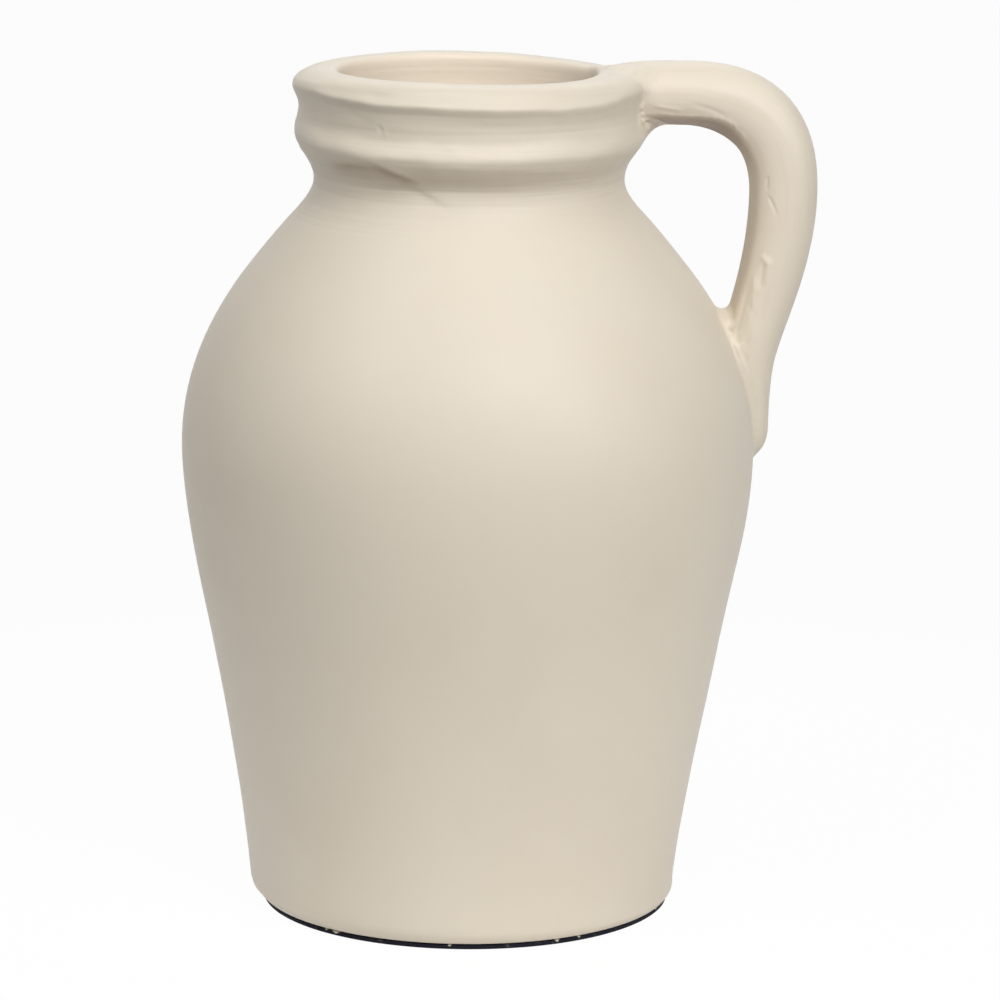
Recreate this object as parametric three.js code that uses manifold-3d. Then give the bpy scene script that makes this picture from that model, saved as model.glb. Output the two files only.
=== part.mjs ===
// A one-handled jug vase of painted terracotta, about 30 cm tall.
// The pot is thrown in one piece, the pulled handle is stuck on with soft clay at both roots,
// and a thin dark pad is glued under the foot. Millimetres, +Z up. The pot's axis is Z,
// the pad's underside is at z = 0 and the handle points along +X.

import * as THREE from "three";
import { mergeVertices } from "three/addons/utils/BufferGeometryUtils.js";
import Module from "manifold-3d";

const wasm = await Module();
wasm.setup();

// Base pad, and the glue film between it and the foot
const PAD_THICKNESS = 1.5;
const PAD_INSET = 0.2; // the pad stops this far inside the foot's flat
const FILM_THICKNESS = 0.3;
const FILM_INSET = 2; // the film stops this far inside the pad's edge

// Foot
const FOOT_RADIUS = 76.5; // just above the rounded bottom edge
const FOOT_EDGE_WIDTH = 3; // the rounded edge, measured across
const FOOT_EDGE_HEIGHT = 4.2; // and upwards
const FOOT_SLOPE = 0.1; // how fast the wall flares there, radius per height

// Wall, each rise counted from the station below it
const FLANK_RISE = 89;
const FLANK_RADIUS = 90.8;
const FLANK_SLOPE = 0.188;
const BELLY_RISE = 71;
const BELLY_RADIUS = 102;
const SHOULDER_RISE = 64;
const SHOULDER_RADIUS = 77.8;
const SHOULDER_SLOPE = -0.79;
const NECK_ROOT_RISE = 18;
const NECK_ROOT_RADIUS = 62.8;
const NECK_ROOT_SLOPE = -0.91;
const WAIST_RISE = 13;
const WAIST_RADIUS = 55.1;

// Neck mouldings and the rolled lip
const RIDGE_RISE = 16.6;
const RIDGE_RADIUS = 62.1;
const GROOVE_RISE = 8.9;
const GROOVE_RADIUS = 60.6;
const LIP_RISE = 6.7;
const LIP_RADIUS = 62.8; // the lip at its widest
const LIP_CROWN = 6.8; // the crest above the widest place

// Inside of the pot
const WALL = 8.7;
const FLOOR = 10;
const FLOOR_CORNER = 14; // radius of the cove between floor and wall

// Handle's centre line, seen from the side
const ROOT_SINK = 1.6; // the handle's centre where it starts, below its top run
const TOP_RUN_BELOW_CREST = 7.7;
const TOP_RUN = 20.2; // from the crest of the lip to where the bend starts
const BEND_ACROSS = 35.9;
const BEND_DOWN = 35.3;
const BEND_TOP_PULL = 22.5; // how far the top run carries on before it turns
const BEND_SIDE_PULL = 25.5; // the same, upwards from the outermost point
const TAIL_START_ABOVE_BELLY = 37;
const TAIL_END_ABOVE_BELLY = -5;
const FALL_PULL = 19; // how far the handle keeps each direction along its fall
const FALL_LEAN = 0.29; // sideways per length, where the fall meets the tail
const TAIL_PULL = 12;
const TAIL_START_PROUD = 5.3; // the centre line outside the belly's surface where the tail starts
const TAIL_SINK = 1.7; // and under it at the tail's end

// Handle's section, half thickness in the side view and half width across it
const ROOT_HALF = { thick: 11.3, wide: 17 };
const BEND_START_HALF = { thick: 11.4, wide: 15 };
const OUTERMOST_HALF = { thick: 12.4, wide: 13.5 };
const TAIL_START_HALF = { thick: 10.6, wide: 12.5 };
const TAIL_END_HALF = { thick: 7, wide: 9.5 };
const TIP_ROUND = 10; // length of the tail's rounded tip
const TIP_LEFT = 0.15; // share of the section left at the very tip

// Soft clay worked into the creases: radius in the middle of each roll and at its ends,
// and how far round the handle it reaches each way from the hand's side, in degrees
const UPPER_ROLL = { middle: 3.2, ends: 2.4, reach: 100 };
const LOWER_ROLL = { middle: 5.2, ends: 2.2, reach: 105 };

const CLEARANCE = 0.3; // left for slip between pieces that are stuck together

// Fineness of the meshes
const TURNS = 48;
const WALL_STEPS = [4, 5, 7, 3, 5, 6, 4, 4]; // one count for each span of the wall, from the foot up
const LIP_STEPS = 6; // from the crest down to each side
const EDGE_STEPS = 4;
const HANDLE_SIDES = 24;
const HANDLE_STEPS = 44;
const ROLL_SIDES = 14;
const ROLL_STEPS = 26;
const BISECTIONS = 40;
const SAME_POINT = 0.03; // two points of a profile nearer than this are one
const SAME_VERTEX = 1e-4;

// Heights worked out from the rises
const padTop = PAD_THICKNESS;
const footBottom = padTop + FILM_THICKNESS;
const footTop = footBottom + FOOT_EDGE_HEIGHT;
const flankHeight = footTop + FLANK_RISE;
const bellyHeight = flankHeight + BELLY_RISE;
const shoulderHeight = bellyHeight + SHOULDER_RISE;
const neckRootHeight = shoulderHeight + NECK_ROOT_RISE;
const waistHeight = neckRootHeight + WAIST_RISE;
const ridgeHeight = waistHeight + RIDGE_RISE;
const grooveHeight = ridgeHeight + GROOVE_RISE;
const lipHeight = grooveHeight + LIP_RISE;
const crestHeight = lipHeight + LIP_CROWN;

// Radii that follow from others
const footFlatRadius = FOOT_RADIUS - FOOT_EDGE_WIDTH;
const padRadius = footFlatRadius - PAD_INSET;
const filmRadius = padRadius - FILM_INSET;
const boreRadius = WAIST_RADIUS - WALL;
const crestRadius = (LIP_RADIUS + boreRadius) / 2;
const lipHalfWidth = (LIP_RADIUS - boreRadius) / 2;

// Outside of the pot

// One cubic from station to station: the height runs evenly, so the radius is a cubic in height
function wallSpan(low, high) {
  const third = (high.z - low.z) / 3;
  return new THREE.CubicBezierCurve(
    new THREE.Vector2(low.r, low.z),
    new THREE.Vector2(low.r + low.slope * third, low.z + third),
    new THREE.Vector2(high.r - high.slope * third, high.z - third),
    new THREE.Vector2(high.r, high.z),
  );
}

const stations = [
  { z: footTop, r: FOOT_RADIUS, slope: FOOT_SLOPE },
  { z: flankHeight, r: FLANK_RADIUS, slope: FLANK_SLOPE },
  { z: bellyHeight, r: BELLY_RADIUS, slope: 0 },
  { z: shoulderHeight, r: SHOULDER_RADIUS, slope: SHOULDER_SLOPE },
  { z: neckRootHeight, r: NECK_ROOT_RADIUS, slope: NECK_ROOT_SLOPE },
  { z: waistHeight, r: WAIST_RADIUS, slope: 0 },
  { z: ridgeHeight, r: RIDGE_RADIUS, slope: 0 },
  { z: grooveHeight, r: GROOVE_RADIUS, slope: 0 },
  { z: lipHeight, r: LIP_RADIUS, slope: 0 },
];
const spans = stations.slice(1).map((station, i) => wallSpan(stations[i], station));
const spansBelowWaist = stations.filter((station) => station.z < waistHeight).length;
const footEdge = new THREE.EllipseCurve(
  footFlatRadius, footTop, FOOT_EDGE_WIDTH, FOOT_EDGE_HEIGHT, -Math.PI / 2, 0,
);
const lipOuter = new THREE.EllipseCurve(
  crestRadius, lipHeight, lipHalfWidth, LIP_CROWN, 0, Math.PI / 2,
);
const lipInner = new THREE.EllipseCurve(
  crestRadius, lipHeight, lipHalfWidth, LIP_CROWN, Math.PI / 2, Math.PI,
);

// The pot's outer radius at a height, and nothing above the crest
function outerRadius(z) {
  if (z >= crestHeight) return 0;
  if (z >= lipHeight) {
    return crestRadius + lipHalfWidth * Math.sqrt(1 - ((z - lipHeight) / LIP_CROWN) ** 2);
  }
  const height = Math.max(z, footTop);
  const i = Math.min(stations.findLastIndex((station) => station.z <= height), spans.length - 1);
  const { z: low } = stations[i];
  const { z: high } = stations[i + 1];
  return spans[i].getPoint((height - low) / (high - low)).x;
}

// Points along a curve, moved sideways: to the right of the way that the curve runs is positive
function pointsBeside(curve, steps, offset) {
  const points = [];
  for (let i = 0; i <= steps; i += 1) {
    const way = curve.getTangent(i / steps);
    points.push(curve.getPoint(i / steps).add(new THREE.Vector2(way.y, -way.x).multiplyScalar(offset)));
  }
  return points;
}

// Neighbouring curves share their end point, which a profile holds once
function withoutRepeats(points) {
  const apart = (a, b) => a.distanceTo(b) > SAME_POINT;
  return points.filter((point, i) => i === 0 || apart(point, points[i - 1]));
}

function outerProfile(offset) {
  return [
    ...pointsBeside(footEdge, EDGE_STEPS, offset),
    ...spans.flatMap((span, i) => pointsBeside(span, WALL_STEPS[i], offset)),
    ...pointsBeside(lipOuter, LIP_STEPS, offset),
  ];
}

// Inside of the pot: the bore drops straight from the lip to the waist, then the wall has one thickness
function innerProfile() {
  const floorHeight = footBottom + FLOOR;
  const coveTop = floorHeight + FLOOR_CORNER;
  const wall = spans
    .slice(0, spansBelowWaist)
    .flatMap((span, i) => pointsBeside(span, WALL_STEPS[i], -WALL))
    .filter((point) => point.y > coveTop + SAME_POINT)
    .reverse();
  const coveRadius = wall.at(-1).x;
  const cove = new THREE.EllipseCurve(
    coveRadius - FLOOR_CORNER, coveTop, FLOOR_CORNER, FLOOR_CORNER, 0, -Math.PI / 2, true,
  );
  return [
    ...pointsBeside(lipInner, LIP_STEPS, 0),
    ...wall,
    ...pointsBeside(cove, EDGE_STEPS, 0),
    new THREE.Vector2(0, floorHeight),
  ];
}

function turned(profile) {
  return new THREE.LatheGeometry(withoutRepeats(profile), TURNS).rotateX(Math.PI / 2);
}

function vaseBody() {
  return turned([new THREE.Vector2(0, footBottom), ...outerProfile(0), ...innerProfile()]);
}

// The pot's outside grown by the clearance and filled in: what the stuck-on pieces are cut by
function bodyEnvelope() {
  return turned([
    new THREE.Vector2(0, footBottom - CLEARANCE),
    ...outerProfile(CLEARANCE),
    new THREE.Vector2(0, crestHeight + CLEARANCE),
  ]);
}

// Handle's centre line, in the plane of X and Z

const topRunHeight = crestHeight - TOP_RUN_BELOW_CREST;
const outermostHeight = topRunHeight - BEND_DOWN;
const tailStartHeight = bellyHeight + TAIL_START_ABOVE_BELLY;
const tailEndHeight = bellyHeight + TAIL_END_ABOVE_BELLY;

const rootPoint = new THREE.Vector3(crestRadius, 0, topRunHeight - ROOT_SINK);
const bendStart = new THREE.Vector3(crestRadius + TOP_RUN, 0, topRunHeight);
const outermost = new THREE.Vector3(bendStart.x + BEND_ACROSS, 0, outermostHeight);
const tailStart = new THREE.Vector3(outerRadius(tailStartHeight) + TAIL_START_PROUD, 0, tailStartHeight);
const tailEnd = new THREE.Vector3(outerRadius(tailEndHeight) - TAIL_SINK, 0, tailEndHeight);
const alongTop = new THREE.Vector3(1, 0, 0);
const down = new THREE.Vector3(0, 0, -1);
const intoTail = new THREE.Vector3(-FALL_LEAN, 0, -1).normalize();

function onwards(point, way, length) {
  return point.clone().addScaledVector(way, length);
}

// A stretch of the centre line, which keeps each end's direction for the length of its pull
function stretch(start, startWay, startPull, end, endWay, endPull) {
  const afterStart = onwards(start, startWay, startPull);
  const beforeEnd = onwards(end, endWay, -endPull);
  return new THREE.CubicBezierCurve3(start, afterStart, beforeEnd, end);
}

const topPull = TOP_RUN / 3;
const route = new THREE.CurvePath();
route.add(stretch(rootPoint, alongTop, topPull, bendStart, alongTop, topPull));
route.add(stretch(bendStart, alongTop, BEND_TOP_PULL, outermost, down, BEND_SIDE_PULL));
route.add(stretch(outermost, down, FALL_PULL, tailStart, intoTail, FALL_PULL));
route.add(stretch(tailStart, intoTail, TAIL_PULL, tailEnd, down, TAIL_PULL));

const routeLength = route.getLength();
const shares = [0, ...route.getCurveLengths().map((length) => length / routeLength)];
const outermostShare = shares[2];
const halves = [ROOT_HALF, BEND_START_HALF, OUTERMOST_HALF, TAIL_START_HALF, TAIL_END_HALF];

// Half thickness and half width at a share of the route, eased from one station to the next
function sectionAt(share) {
  const i = Math.min(Math.max(shares.findLastIndex((start) => start <= share), 0), halves.length - 2);
  const ease = THREE.MathUtils.smoothstep(share, shares[i], shares[i + 1]);
  const tipLeft = Math.min((1 - share) * routeLength / TIP_ROUND, 1);
  const tip = Math.max(Math.sqrt(1 - (1 - tipLeft) ** 2), TIP_LEFT);
  return {
    thick: THREE.MathUtils.lerp(halves[i].thick, halves[i + 1].thick, ease) * tip,
    wide: THREE.MathUtils.lerp(halves[i].wide, halves[i + 1].wide, ease) * tip,
  };
}

// A point of the handle: outward is 1 away from the pot's side of the section, across is 1 along +Y
function handlePoint(share, outward, across, grow) {
  const centre = route.getPoint(share);
  const way = route.getTangent(share);
  const { thick, wide } = sectionAt(share);
  return centre
    .addScaledVector(new THREE.Vector3(-way.z, 0, way.x), outward * (thick + grow))
    .addScaledVector(new THREE.Vector3(0, 1, 0), across * (wide + grow));
}

// A plain closed cylinder whose every vertex is carried to its place along a route
function carried(sides, steps, place) {
  const geometry = new THREE.CylinderGeometry(1, 1, 1, sides, steps);
  const position = geometry.getAttribute("position");
  for (let i = 0; i < position.count; i += 1) {
    const step = Math.round((position.getY(i) + 0.5) * steps);
    const point = place(step, position.getX(i), position.getZ(i));
    position.setXYZ(i, point.x, point.y, point.z);
  }
  return geometry;
}

function handleBar(grow) {
  const place = (step, x, z) => handlePoint(step / HANDLE_STEPS, x, z, grow);
  return carried(HANDLE_SIDES, HANDLE_STEPS, place);
}

// The share of the route at which the handle's side, at this angle, comes out of the pot
function surfacingShare(angle, inside, outside) {
  let buried = inside;
  let free = outside;
  for (let i = 0; i < BISECTIONS; i += 1) {
    const middle = (buried + free) / 2;
    const point = handlePoint(middle, Math.cos(angle), Math.sin(angle), 0);
    if (Math.hypot(point.x, point.y) < outerRadius(point.z)) buried = middle;
    else free = middle;
  }
  return free;
}

// A roll of soft clay laid in the crease between handle and pot, on the hand's side of the handle
function creaseRoll(roll, inside) {
  const reach = THREE.MathUtils.degToRad(roll.reach);
  const crease = [];
  for (let i = 0; i <= ROLL_STEPS; i += 1) {
    const angle = Math.PI - reach + (2 * reach * i) / ROLL_STEPS;
    const share = surfacingShare(angle, inside, outermostShare);
    crease.push(handlePoint(share, Math.cos(angle), Math.sin(angle), 0));
  }
  const line = new THREE.CatmullRomCurve3(crease);
  const frames = line.computeFrenetFrames(ROLL_STEPS, false);
  return carried(ROLL_SIDES, ROLL_STEPS, (step, x, z) => {
    const share = step / ROLL_STEPS;
    const radius = THREE.MathUtils.lerp(roll.ends, roll.middle, Math.sin(Math.PI * share));
    return line
      .getPointAt(share)
      .addScaledVector(frames.normals[step], radius * x)
      .addScaledVector(frames.binormals[step], -radius * z);
  });
}

// Joins and cuts

function solidOf(geometry) {
  const bare = geometry.clone();
  bare.deleteAttribute("normal");
  bare.deleteAttribute("uv");
  const merged = mergeVertices(bare, SAME_VERTEX);
  return new wasm.Manifold(
    new wasm.Mesh({
      numProp: 3,
      vertProperties: merged.getAttribute("position").array,
      triVerts: new Uint32Array(merged.index.array),
    }),
  );
}

function geometryOf(solid) {
  const { vertProperties, triVerts } = solid.getMesh();
  const geometry = new THREE.BufferGeometry();
  geometry.setAttribute("position", new THREE.BufferAttribute(vertProperties, 3));
  geometry.setIndex(new THREE.BufferAttribute(triVerts, 1));
  geometry.computeVertexNormals();
  return geometry;
}

const envelope = solidOf(bodyEnvelope());
const handleKeepOut = solidOf(handleBar(CLEARANCE));

function handle() {
  return geometryOf(solidOf(handleBar(0)).subtract(envelope));
}

function jointClay(roll, inside) {
  return geometryOf(solidOf(creaseRoll(roll, inside)).subtract(envelope).subtract(handleKeepOut));
}

// Flat discs under the foot
function disc(radius, thickness, bottom) {
  const round = new THREE.CylinderGeometry(radius, radius, thickness, TURNS);
  return round.rotateX(Math.PI / 2).translate(0, 0, bottom + thickness / 2);
}

// The assembly

const paintedClay = { color: "#dfd4c1", roughness: 0.62, metalness: 0 };
const darkFoam = { color: "#1c1c26", roughness: 0.9, metalness: 0 };
const clearGlue = { color: "#b9b2a4", roughness: 0.4, metalness: 0 };

function piece(name, geometry, look) {
  const mesh = new THREE.Mesh(geometry, new THREE.MeshStandardMaterial(look));
  mesh.name = name;
  return mesh;
}

const group = new THREE.Group();
group.name = "terracotta_vase";
group.add(
  piece("vase_body", vaseBody(), paintedClay),
  piece("handle", handle(), paintedClay),
  piece("upper_joint_clay", jointClay(UPPER_ROLL, 0), paintedClay),
  piece("lower_joint_clay", jointClay(LOWER_ROLL, 1), paintedClay),
  piece("base_pad", disc(padRadius, PAD_THICKNESS, 0), darkFoam),
  piece("pad_adhesive", disc(filmRadius, FILM_THICKNESS, padTop), clearGlue),
);

export default group;
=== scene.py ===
# %% [markdown]
# # A jug vase of painted terracotta
#
# The pot is thrown on a wheel, its handle is pulled by hand and stuck on with soft clay, and all
# of it is painted a matt cream. A thin dark pad under the foot spares the table. The drawing of
# these parts is fixed, so the lesson dresses them: each surface made here lies where its drawn
# part lies. Lengths are worked out in millimetres, as on a ruler, and stored as metres.

import bpy
import numpy as np
from mathutils import Matrix, Vector


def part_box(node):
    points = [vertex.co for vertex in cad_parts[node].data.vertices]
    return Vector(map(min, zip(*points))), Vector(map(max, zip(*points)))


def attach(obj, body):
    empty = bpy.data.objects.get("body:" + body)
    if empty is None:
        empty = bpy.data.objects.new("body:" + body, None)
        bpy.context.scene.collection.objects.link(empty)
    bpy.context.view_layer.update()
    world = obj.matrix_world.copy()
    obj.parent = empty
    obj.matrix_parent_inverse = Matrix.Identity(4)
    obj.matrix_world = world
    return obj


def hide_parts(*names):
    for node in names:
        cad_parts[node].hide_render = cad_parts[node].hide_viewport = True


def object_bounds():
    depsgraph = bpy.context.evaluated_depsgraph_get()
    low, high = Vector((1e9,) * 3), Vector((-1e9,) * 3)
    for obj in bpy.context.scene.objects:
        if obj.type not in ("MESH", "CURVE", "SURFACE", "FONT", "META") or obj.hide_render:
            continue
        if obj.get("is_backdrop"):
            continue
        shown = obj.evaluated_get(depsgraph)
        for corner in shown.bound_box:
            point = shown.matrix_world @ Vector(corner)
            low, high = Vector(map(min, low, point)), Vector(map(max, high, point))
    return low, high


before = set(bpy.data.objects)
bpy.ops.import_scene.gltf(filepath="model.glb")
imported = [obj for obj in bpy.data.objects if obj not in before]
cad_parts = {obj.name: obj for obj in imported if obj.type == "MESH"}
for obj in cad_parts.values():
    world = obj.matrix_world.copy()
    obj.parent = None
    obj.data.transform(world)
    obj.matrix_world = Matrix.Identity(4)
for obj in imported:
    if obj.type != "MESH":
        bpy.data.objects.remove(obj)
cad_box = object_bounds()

MM = 0.001


def drawn_box(node):
    """Lowest and highest corner of a drawn part, in millimetres."""
    low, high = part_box(node)
    return np.array(low) / MM, np.array(high) / MM


pot_low, pot_high = drawn_box("vase_body")
print("drawn pot from", pot_low.round(2), "to", pot_high.round(2), "mm")

# %% [markdown]
# ## The wheel's profile
#
# A thrown pot is a turned shape: one profile swept round an axis. The profile could be drawn as
# many points, but a potter thinks of a few places: foot, flank, belly, shoulder, neck, waist and
# lip. So each place has a height, a radius and a slope, and between two places the radius is the
# cubic that meets both. The lip is rolled over, so its crest is two quarters of an ellipse.

# %% Sizes of the pot
FOOT = (6.0, 76.5, 0.1)  # height, radius, and how fast the radius grows with height
FLANK = (95.0, 91.1, 0.188)
BELLY = (166.0, pot_high[0], 0.0)
SHOULDER = (230.0, 77.8, -0.79)
NECK_ROOT = (248.0, 62.8, -0.91)
WAIST = (261.0, 55.1, 0.0)
RIDGE = (277.6, 62.1, 0.0)
GROOVE = (286.5, 60.6, 0.0)
LIP = (293.2, 62.8, 0.0)
PLACES = np.array([FOOT, FLANK, BELLY, SHOULDER, NECK_ROOT, WAIST, RIDGE, GROOVE, LIP])
CREST = pot_high[2]
WALL = 8.7
FLOOR = 10.0
FLOOR_CORNER = 14.0
FOOT_EDGE = (3.0, 4.2)  # the rounded bottom edge, across and upwards
FOOT_SQUARENESS = 1.25  # of that edge, which is nearly a straight bevel
LIP_CREST_SHARE = 0.4  # of the lip's thickness that lies inside its crest
LIP_SQUARENESS = (1.9, 6.0)  # of its outer and its inner corner: 2 is an ellipse, and more is squarer
THROAT = 1.3  # how far the bore narrows below the lip
FINE = 0.05  # spacing of the points that describe the profile

bore = WAIST[1] - WALL
lip_middle = bore + LIP_CREST_SHARE * (LIP[1] - bore)
lip_halves = (LIP[1] - lip_middle, lip_middle - bore)
lip_crown = CREST - LIP[0]
print("bore radius", round(bore, 2), "mm, lip", round(sum(lip_halves), 2), "mm thick")

# %% Lines that the profile is made of


def wall_radius(height, places=PLACES):
    """Radius of the round outside at a height. Between two places it is the cubic in the height
    that has the radius and the slope of both."""
    z, r, slope = places.T
    i = np.clip(np.searchsorted(z, height, side="right") - 1, 0, len(z) - 2)
    rise = z[i + 1] - z[i]
    u = np.clip((height - z[i]) / rise, 0, 1)
    first = (1 + 2 * u) * (1 - u) ** 2
    radii = first * r[i] + (1 - first) * r[i + 1]
    return radii + rise * u * (1 - u) * ((1 - u) * slope[i] - u * slope[i + 1])


def steps_between(start, end):
    """Evenly spaced numbers from start to end, about FINE apart."""
    return np.linspace(start, end, 2 + int(abs(end - start) / FINE))


def quarter(middle, halves, start, end, squareness=2.0):
    """Part of an ellipse: its middle plus its half axes times the cosine and sine of an angle. Both
    are raised to 2 over the squareness, so that above 2 the corner grows squarer."""
    angle = np.radians(np.linspace(start, end, 2 + int(2 * max(halves) / FINE)))
    turned = np.column_stack([np.cos(angle), np.sin(angle)])
    return np.array(middle) + np.array(halves) * np.sign(turned) * np.abs(turned) ** (2 / squareness)


def offset_inwards(line, distance):
    """A line moved sideways to its left, square to the way that it runs."""
    way = np.gradient(line, axis=0)
    way = way / np.linalg.norm(way, axis=1, keepdims=True)
    return line + distance * np.column_stack([-way[:, 1], way[:, 0]])


def way_along(line):
    """How far each point of a line is from its start, along the line."""
    return np.concatenate([[0], np.cumsum(np.linalg.norm(np.diff(line, axis=0), axis=1))])


# %% The profile, from the middle of the underside to the middle of the floor inside
foot_flat = FOOT[1] - FOOT_EDGE[0]
foot_bottom = pot_low[2]
foot_radii = steps_between(0, foot_flat)
underside = np.column_stack([foot_radii, np.full(len(foot_radii), foot_bottom)])
foot_edge = quarter((foot_flat, FOOT[0]), FOOT_EDGE, -90, 0, FOOT_SQUARENESS)
heights = steps_between(FOOT[0], LIP[0])
outside = np.column_stack([wall_radius(heights), heights])
lip_outside = quarter((lip_middle, LIP[0]), (lip_halves[0], lip_crown), 0, 90, LIP_SQUARENESS[0])
lip_inside = quarter((lip_middle, LIP[0]), (lip_halves[1], lip_crown), 90, 180, LIP_SQUARENESS[1])
throat_heights = steps_between(LIP[0], WAIST[0])
throat_share = (LIP[0] - throat_heights) / (LIP[0] - WAIST[0])
throat = np.column_stack([bore - THROAT * np.sin(np.pi * throat_share) ** 2, throat_heights])
cove_top = foot_bottom + FLOOR + FLOOR_CORNER
inside = offset_inwards(outside[outside[:, 1] < WAIST[0]], WALL)
inside = inside[inside[:, 1] > cove_top][::-1]
cove_radius = inside[-1, 0]
cove = quarter((cove_radius - FLOOR_CORNER, cove_top), (FLOOR_CORNER, FLOOR_CORNER), 0, -90)
floor_radii = steps_between(cove_radius - FLOOR_CORNER, 0)
floor_line = np.column_stack([floor_radii, np.full(len(floor_radii), foot_bottom + FLOOR)])

stretches = {
    "underside": underside,
    "foot edge": foot_edge,
    "outside": outside,
    "lip outside": lip_outside,
    "lip inside": lip_inside,
    "throat": throat,
    "inside": inside,
    "cove": cove,
    "floor": floor_line,
}
profile = np.concatenate(list(stretches.values()))
profile_way = way_along(profile)
stretch_ends = profile_way[np.cumsum([len(line) for line in stretches.values()]) - 1]
end_of = dict(zip(stretches, stretch_ends))
crest_way = end_of["lip outside"]
print("profile", len(profile), "points,", profile_way[-1].round(1), "mm long, crest at", crest_way.round(1))

# %% [markdown]
# ## What hands do to a round pot
#
# A true lathe shape looks like plastic. On the real pot the rim dips a little, the foot sits off
# the axis, the ridge wanders up and down, and fingers leave rings in the soft neck. Such things
# could be sculpted, but here each one is a small formula of the angle and the height, so it can
# be read and changed. Nothing is random without a seed: a wandering line is a sum of sines.
# Angle 0 is the handle's side, and minus 90 degrees is the front.

# %% Small formulas that the hand-made shapes share


def hill(x, middle, half_width):
    """A smooth hill from 0 to 1 and back: e to the minus square of the distance in half widths."""
    return np.exp(-(((x - middle) / half_width) ** 2))


def rise_between(x, start, end):
    """0 before start, 1 after end, and three squares less two cubes between them."""
    u = np.clip((x - start) / (end - start), 0, 1)
    return u * u * (3 - 2 * u)


def plateau(x, start, whole, fading, end):
    """0 before start, 1 from whole to fading, 0 after end, with a smooth slope on both sides."""
    return rise_between(x, start, whole) * (1 - rise_between(x, fading, end))


def eased(x, places, values):
    """Values at places, with a smooth rise from each place to the next."""
    places = np.asarray(places, float)
    values = np.asarray(values, float)
    i = np.clip(np.searchsorted(places, x, side="right") - 1, 0, len(places) - 2)
    share = rise_between(x, places[i], places[i + 1])
    return values[i] + (values[i + 1] - values[i]) * share


def turned_by(angle, middle):
    """Angle from a middle, in degrees, between -180 and 180."""
    return (np.degrees(angle) - middle + 180) % 360 - 180


def wander(angle, waves, seed):
    """A line that wanders between about -1 and 1 and closes on itself: a sum of sines of the
    angle, each weaker than the last, with phases from the seed."""
    dice = np.random.default_rng(seed)
    phases = dice.uniform(0, 2 * np.pi, waves)
    strengths = 1 / np.sqrt(np.arange(1, waves + 1))
    total = sum(s * np.sin((k + 1) * angle + p) for k, (s, p) in enumerate(zip(strengths, phases)))
    return total / np.sqrt((strengths ** 2).sum() * 2)


# %% Folds and pits in the neck
FOLDS = [  # angle and height of both ends, and what pressed() takes after its first value
    ((-145.0, 269.6), (-119.0, 272.8), (0.15, 0.8, 1.0, 2.0, 2.2)),
    ((-123.5, 273.0), (-108.5, 267.0), (0.5, 1.9, 0.45, 1.6, 1.6)),
    ((-119.5, 272.0), (-110.0, 268.8), (0.3, 0.3, 0.2, 0.6, 0.5)),
    ((-116.5, 270.9), (-107.5, 267.8), (0.2, 0.25, 0.2, 0.5, 0.5)),
    ((-118.0, 268.2), (-97.0, 258.4), (0.2, 0.8, 1.4, 2.5, 3.0)),
    ((-136.0, 291.6), (-121.0, 285.2), (0.15, 0.3, 1.5, 2.6, 2.4)),
    ((-50.5, 271.6), (-43.0, 277.4), (0.3, 0.15, 0.45, 0.9, 0.9)),
]
FOLD_ENDS = (-0.15, 0.4, 0.65, 1.2)  # shares of its length between which a fold begins and fades
PITS = [  # angle, height, half length, half width, tilt in degrees, and depth
    (-120.4, 284.6, 1.3, 0.8, -45, 0.4),
    (-118.6, 283.2, 1.2, 0.8, -45, -0.25),
    (-95.9, 279.4, 0.9, 0.6, 0, -0.2),
    (-54.4, 279.4, 1.8, 0.6, 0, -0.14),
]


def pressed(above, out, inwards, softness, reach_up, reach_down):
    """Clay that was pushed over a line: above the line it stands out, below it it is pressed in,
    and both fade with the distance from the line."""
    step = 0.5 + 0.5 * np.tanh(above / softness)
    raised = step * np.exp(-np.maximum(above, 0) / reach_up)
    sunk = (1 - step) * np.exp(np.minimum(above, 0) / reach_down)
    return out * raised - inwards * sunk


def beside(angle, height, place):
    """Distance to the right of and above a place on the neck, in millimetres."""
    return np.radians(turned_by(angle, place[0])) * RIDGE[1], height - place[1]


def fold(angle, height, start, end, press):
    """A slanted line of pressed clay that fades towards its ends."""
    across, up = beside(angle, height, start)
    run = np.array(beside(np.radians(end[0]), end[1], start))
    length = np.linalg.norm(run)
    along = (across * run[0] + up * run[1]) / length ** 2
    above = (up * run[0] - across * run[1]) / length
    return plateau(along, *FOLD_ENDS) * pressed(above, *press)


def pit(angle, height, turn, middle, half_length, half_width, tilt, depth):
    """A small oval hollow, or with a depth below zero a small lump, turned by its tilt."""
    across, up = beside(angle, height, (turn, middle))
    cosine, sine = np.cos(np.radians(tilt)), np.sin(np.radians(tilt))
    along = across * cosine + up * sine
    aside = up * cosine - across * sine
    return -depth * hill(along, 0, half_length) * hill(aside, 0, half_width)


def folds_and_pits(angle, height):
    """All of them together, in millimetres outwards."""
    folds = sum(fold(angle, height, *line) for line in FOLDS)
    return folds + sum(pit(angle, height, *mark) for mark in PITS)


print(len(FOLDS), "folds and", len(PITS), "pits")

# %% Rings and dabs of the fingers
RING_COUNT = 34
RING_SEED = 11
RING_HEIGHTS = (247, 294)
RING_HALF_WIDTHS = (0.35, 0.9)
RING_DEPTHS = (0.03, 0.11)
DAB_COUNT = 60
DAB_SEED = 8
DAB_HEIGHTS = (264, 299)
DAB_LEAST = (4, 0.9, -0.26)  # half length, half height, and how far it stands out
DAB_MOST = (12, 2.4, 0.26)
BORE_RINGS = (200, 240, CREST - 6, CREST - 2)  # heights between which rings show inside the neck
BORE_RING_DEPTH = 0.05
BORE_WANDER = (4, 21)  # waves round the pot, and the seed


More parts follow.
